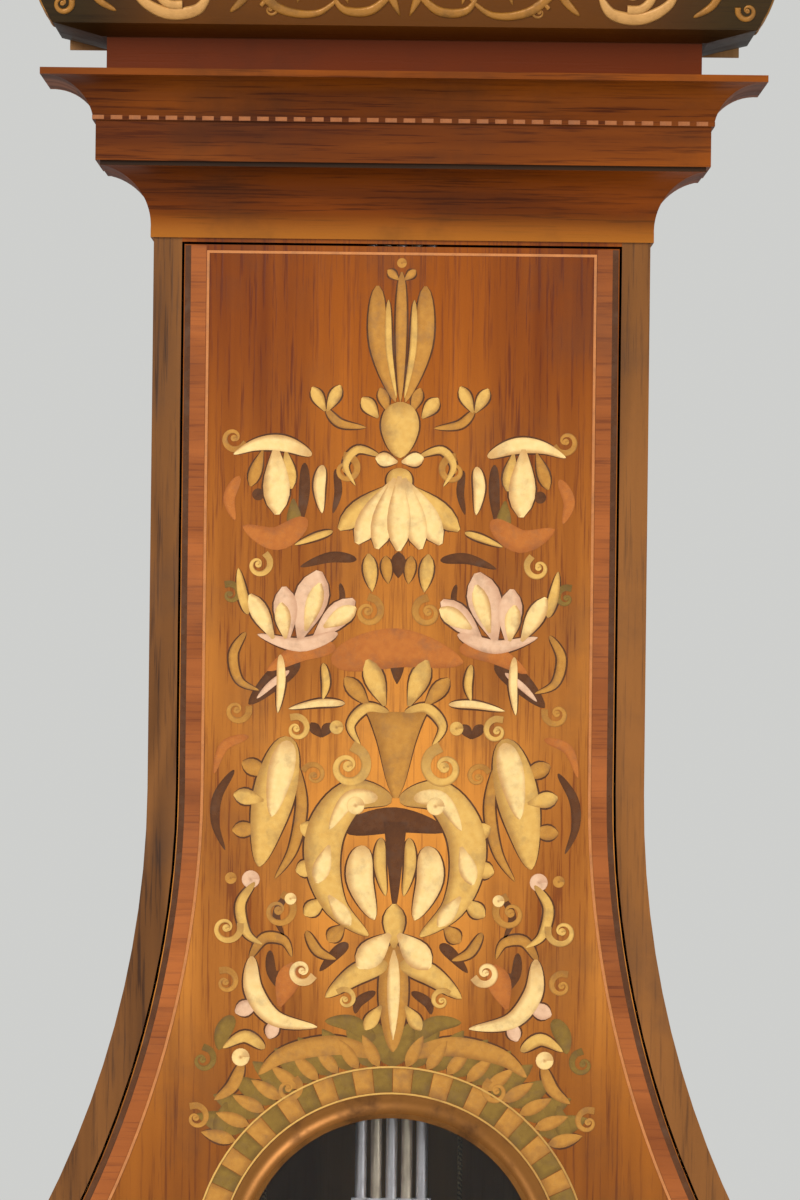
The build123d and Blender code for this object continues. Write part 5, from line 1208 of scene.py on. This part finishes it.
print("dial centre height:", round(DIAL_Z, 4), "numerals:", len(NUMERALS))

# %% Numerals, minute track and eyelets
NUMERAL_FOOT = 0.076
TRACK_IN, TRACK_OUT, TRACK_LINE, TRACK_END = 0.1005, 0.1055, 0.0005, 0.1058
FIVE_HALF, MINUTE_HALF = 0.55, 0.18
WINDING_X, WINDING_Z = 0.056, 2.047368
EYELET_IN, EYELET_OUT = 0.0061, 0.0082


def on_dial(u, v, turn):
    """A place on the dial: aside from a ray at an hour's turn, and out from the numerals' feet."""
    reach, sine, cosine = NUMERAL_FOOT + v, math.sin(turn), math.cos(turn)
    return u * cosine + reach * sine, DIAL_Z - u * sine + reach * cosine


figures = Slips(0.0, rise=0.00012)
for hour, numeral in enumerate(NUMERALS):
    turn = math.radians(30 * hour)
    x = -sum(LETTER_WIDTH[letter] for letter in numeral) / 2
    for letter in numeral:
        x += LETTER_WIDTH[letter] / 2
        for x0, y0, x1, y1, width in letter_bars(letter, x):
            length = math.hypot(x1 - x0, y1 - y0)
            px, py = -(y1 - y0) / length * width / 2, (x1 - x0) / length * width / 2
            figures.strip(*([on_dial(u + side * px, v + side * py, turn)
                             for u, v in ((x0, y0), (x1, y1))] for side in (1, -1)))
        x += LETTER_WIDTH[letter] / 2
for reach in (TRACK_IN, TRACK_OUT):
    figures.ring(0.0, DIAL_Z, reach, reach + TRACK_LINE, 0, 360, 120)
for minute in range(60):
    at, half = 90 - 6 * minute, FIVE_HALF if minute % 5 == 0 else MINUTE_HALF
    figures.ring(0.0, DIAL_Z, TRACK_IN, TRACK_END, at - half, at + half, 1)
dome = lay_on("dial", "front")
figures.finish("dial_numerals", "case", MATERIALS["black_enamel"], dome)

eyelets = Relief(0.0, rise=0.0011)
for side in (1, -1):
    eyelets.ring(side * WINDING_X, WINDING_Z, EYELET_IN, EYELET_OUT, 0, 360, 32)
eyelets.finish("winding_eyelets", "case", MATERIALS["lacquered_brass"], dome)

# %% [markdown]
# ## The pressed brass round the dial
# Thin brass sheet, pressed over a die, fills the arch: a shell with scrolls above the dial, a
# leaf in each lower corner and a row of beads round the enamel. The leafwork is of the plain,
# common kind.

# %% Leafwork of the surround
PRESSED_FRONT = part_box("dial_surround")[0][1]
SHELL_Z, SHELL_ROOT = DIAL_Z + 0.128, 0.006
SURROUND_STROKES = """
leaf 9 16,124 44,132 66,128 82,112
leaf 8 46,134 56,152 76,158 90,146
leaf 7 92,142 108,124 117,98 120,68
petal 8 84,128 104,116
petal 7 98,108 110,88
petal 7 62,148 60,170
leaf 7 121,50 123.5,20 122.5,-20 120,-50
leaf 10 121,-56 116,-78 102,-96 80,-106
petal 10 100,-94 121,-108
petal 7 110,-84 124,-88
petal 7 92,-100 100,-110
"""
SHELL_LEAVES = (0, 0.050, 0.014), (20, 0.046, 0.013), (40, 0.040, 0.012), (60, 0.032, 0.010)
leafwork = Relief(PRESSED_FRONT, rise=0.0022)
for lean, reach, width in SHELL_LEAVES:
    angle = math.radians(90 - lean)
    leaf = [ray(0, SHELL_Z, out, angle) for out in (SHELL_ROOT, reach)]
    for flip in (False, True) if lean else (False,):
        leafwork.stroke(leaf, width, "petal", flip)
for kind, width, points in drawing(SURROUND_STROKES):
    for flip in (False, True):
        leafwork.stroke([(x, DIAL_Z + z) for x, z in points], width, kind, flip)
for x, z, radius in ((0.062, 0.140, 0.009), (0.100, 0.134, 0.007)):
    for flip in (False, True):
        leafwork.volute(x, DIAL_Z + z, radius, turns=1.3, start=200, width=0.004, flip=flip)
leafwork.finish("surround_leafwork", "case", MATERIALS["pressed_brass"])

# %% [markdown]
# ### Geometry Nodes for what repeats
# A tree is written once with named inputs and used for every row of beads or screws. Its end
# realizes the instances and sets the material, and the result is turned into a plain mesh before
# it becomes a piece.

# %% Helpers for Geometry Nodes
QUARTER = (math.radians(90), 0, 0)


def geometry_node(tree, kind, **sockets):
    """The first output of a geometry node; an underscore in a socket's name stands for a space."""
    sockets = {name.replace("_", " "): value for name, value in sockets.items()}
    return add_node(tree, "GeometryNode" + kind, sockets).outputs[0]


def geometry_tree(name, inputs):
    """An empty geometry tree that takes a material as its last input."""
    return fresh_group(name, [*inputs, ("Finish", "Material")], [("Geometry", "Geometry")],
                       "GeometryNodeTree")


def coated(tree, end, geometry, finish):
    """The end of a tree: sets the material and hands the geometry out."""
    fill(tree, end, {0: geometry_node(tree, "SetMaterial", Geometry=geometry, Material=finish)})


def grown(name, tree, values, body, points=None):
    """Runs a geometry tree with its inputs set and keeps the result as a plain piece on a body."""
    holder = new_object(name + "_grower", points or bpy.data.meshes.new(name + "_seed"))
    modifier = holder.modifiers.new("grow", "NODES")
    modifier.node_group = tree
    for item in tree.interface.items_tree:
        if item.in_out == "INPUT" and item.name in values:
            modifier[item.identifier] = values[item.name]
    bpy.context.view_layer.update()
    finished = holder.evaluated_get(bpy.context.evaluated_depsgraph_get())
    shape = bpy.data.meshes.new_from_object(finished)
    bpy.data.objects.remove(holder)
    piece = new_object(name, shape)
    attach(piece, body)
    print(name, "faces:", len(shape.polygons))
    return piece


print("trees so far:", len(bpy.data.node_groups))

# %% A row of beads on a circle
beads, b_in, b_end = geometry_tree("row of beads", [
    ("Count", "Int"), ("Ring Radius", "Float"), ("Bead Radius", "Float"), ("Centre", "Vector")])
circle = geometry_node(beads, "MeshCircle", Vertices=b_in["Count"], Radius=b_in["Ring Radius"])
bead = geometry_node(beads, "MeshUVSphere", Segments=10, Rings=6, Radius=b_in["Bead Radius"])
row = geometry_node(beads, "InstanceOnPoints", Points=circle, Instance=bead)
upright_row = geometry_node(beads, "Transform", Geometry=row, Translation=b_in["Centre"],
                            Rotation=QUARTER)
real_beads = geometry_node(beads, "RealizeInstances", Geometry=upright_row)
coated(beads, b_end, geometry_node(beads, "SetShadeSmooth", Geometry=real_beads), b_in["Finish"])
for name, count, reach, size in (("surround_beads", 132, 0.1150, 0.0017),
                                 ("surround_fine_beads", 190, 0.1188, 0.0009)):
    values = {"Count": count, "Ring Radius": reach, "Bead Radius": size,
              "Centre": (0.0, PRESSED_FRONT, DIAL_Z), "Finish": MATERIALS["pressed_brass"]}
    grown(name, beads, values, "case")

# %% [markdown]
# ## Screws
# Hinges and the keyhole plate are held by slotted screws with flat heads. One tree cuts the slot
# out of a disc, sets a copy on every point it is given and turns each by its own angle, because
# no joiner stops two screws at the same one.

# %% Slotted screws
BAR_LONG, BAR_UP, MOST_TURN = 2.4, 0.6, 3.1

screws, s_in, s_end = geometry_tree("slotted screws", [
    ("Geometry", "Geometry"), ("Head Radius", "Float"), ("Head Height", "Float"), ("Slot", "Float"),
    ("Seed", "Int")])
head_radius, head_height = s_in["Head Radius"], s_in["Head Height"]
head = geometry_node(screws, "MeshCylinder", Vertices=20, Radius=head_radius, Depth=head_height)
bar = geometry_node(screws, "MeshCube", Size=joined(
    screws, number(screws, "MULTIPLY", head_radius, BAR_LONG), s_in["Slot"], head_height))
raised = geometry_node(screws, "Transform", Geometry=bar, Translation=joined(
    screws, z=number(screws, "MULTIPLY", head_height, BAR_UP)))
cut = geometry_node(screws, "MeshBoolean", Mesh_1=head, Mesh_2=raised)
faced = geometry_node(screws, "Transform", Geometry=cut, Rotation=QUARTER)
spin = add_node(screws, "FunctionNodeRandomValue",
                {"Min": 0.0, "Max": MOST_TURN, "Seed": s_in["Seed"]},
                data_type="FLOAT").outputs["Value"]
set_in = geometry_node(screws, "InstanceOnPoints", Points=s_in["Geometry"], Instance=faced,
                       Rotation=joined(screws, y=spin))
coated(screws, s_end, geometry_node(screws, "RealizeInstances", Geometry=set_in), s_in["Finish"])
print("nodes that make a screw:", len(screws.nodes))

# %% Screws on hinges and keyhole plate
HINGE_PROUD = 0.0070
SLOT_SHARE, SCREW_SEED = 0.36, 7
PIN_IN = 0.004


def screw_row(name, places, radius, body, height=0.0018):
    """Brass screws on a list of places on faces that look to the front."""
    points = bpy.data.meshes.new(name + "_points")
    points.from_pydata(places, [], [])
    values = {"Head Radius": radius, "Head Height": height, "Slot": radius * SLOT_SHARE,
              "Seed": SCREW_SEED, "Finish": MATERIALS["lacquered_brass"]}
    grown(name, screws, values, body, points)


def leaf_places(node, x_share, heights):
    """Places on the two leaves of a hinge node: a share of its width, and heights on each leaf."""
    low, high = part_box(node)
    face = low[1] + HINGE_PROUD
    x = low[0] + (high[0] - low[0]) * x_share
    return [(x, face, low[2] + z) for z in heights] + [(x, face, high[2] - z) for z in heights]


for name, node, x_share, heights, radius, body in (
        ("door_hinge_screws", "door_hinge_leaves", 0.28, (0.007, 0.022, 0.037), 0.0028,
         "trunk_door"),
        ("hood_hinge_screws", "hood_hinges_moving", 0.30, (0.009, 0.035), 0.0022, "hood_door"),
        ("hood_fixed_screws", "hood_hinges_fixed", 0.70, (0.009, 0.035), 0.0022, "hood")):
    screw_row(name, leaf_places(node, x_share, heights), radius, body)
plate_low, plate_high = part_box("escutcheon")
plate_x = (plate_low[0] + plate_high[0]) / 2
pins = [(plate_x, plate_low[1], z) for z in (plate_low[2] + PIN_IN, plate_high[2] - PIN_IN)]
screw_row("escutcheon_pins", pins, 0.0013, "trunk_door", height=0.0008)

# %% [markdown]
# ## The plinth's panel
# The plinth stands below the picture. A pale line marks a panel on its front, with a small fan in
# each corner, as is usual on such bases.

# %% Lines and fans on the plinth
plinth_low, plinth_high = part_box("plinth")
PLINTH_INSET, LINE_HALF = 0.026, 0.0009
FAN_ROOT, FAN_REACH, FAN_LEAF = 0.004, 0.042, 0.011
CORNER_LEAVES, LEAF_PITCH = 5, 18
half = plinth_high[0] - PLINTH_INSET
panel_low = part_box("skirting")[1][2] + PLINTH_INSET
panel_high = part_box("base_moulding")[0][2] - PLINTH_INSET
panel = Slips(plinth_low[1], rise=0.0002)
for z in (panel_low, panel_high):
    panel.strip(*([(-half, z + up), (half, z + up)] for up in (LINE_HALF, -LINE_HALF)))
for x in (-half, half):
    panel.strip(*([(x + out, panel_low), (x + out, panel_high)] for out in (-LINE_HALF, LINE_HALF)))
panel.finish("plinth_string", "case", string_wood)
fans = {wood: Slips(plinth_low[1], rise) for wood, rise in (("box", 0.00035), ("satin", 0.0005))}
for x, z, turn in ((-half, panel_low, 0), (half, panel_low, 90), (half, panel_high, 180),
                   (-half, panel_high, 270)):
    for k in range(CORNER_LEAVES):
        angle = math.radians(turn + LEAF_PITCH * (k + 0.5))
        leaf = [ray(x, z, reach, angle) for reach in (FAN_ROOT, FAN_REACH)]
        fans[("box", "satin")[k % 2]].stroke(leaf, FAN_LEAF, "petal")
for wood, fan in fans.items():
    fan.finish("plinth_fans_" + wood, "case", INLAY_WOODS[wood])
print("panel from", round(panel_low, 3), "to", round(panel_high, 3))

# %% [markdown]
# ## The lines of the weights
# Each weight hangs on a laid line of three strands. As the weight rises, the barrel takes the
# line up. Here the line is made once, from the barrel down to the weight, in the place of the
# plain one.

# %% Laid lines
STRANDS, STRAND_RADIUS, STRAND_OUT, LAY = 3, 0.00082, 0.0007, 0.011
STRAND_SIDES, STEPS_PER_TURN = 5, 10


def laid_line(node):
    """A line of three strands in the place of a plain one, from the barrel down to a weight."""
    low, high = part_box(node)
    x, y, top, bottom = (low[0] + high[0]) / 2, (low[1] + high[1]) / 2, high[2], low[2]
    steps = round((top - bottom) / LAY * STEPS_PER_TURN)
    rope = bmesh.new()
    for strand in range(STRANDS):
        before = None
        for i in range(steps + 1):
            z = top + (bottom - top) * i / steps
            turn = 2 * math.pi * (z / LAY + strand / STRANDS)
            middle = ray(x, y, STRAND_OUT, turn)
            sides = [turn + 2 * math.pi * k / STRAND_SIDES for k in range(STRAND_SIDES)]
            ring = [rope.verts.new((*ray(*middle, STRAND_RADIUS, side), z)) for side in sides]
            if before is None:
                rope.faces.new(ring)
            else:
                for k in range(STRAND_SIDES):
                    j = (k + 1) % STRAND_SIDES
                    rope.faces.new((before[k], ring[k], ring[j], before[j])).smooth = True
            before = ring
        rope.faces.new(before[::-1])
    piece = meshed(rope, "laid_" + node, MATERIALS["hemp_line"])
    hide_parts(node)
    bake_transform(piece)


laid_line("going_line")
laid_line("strike_line")
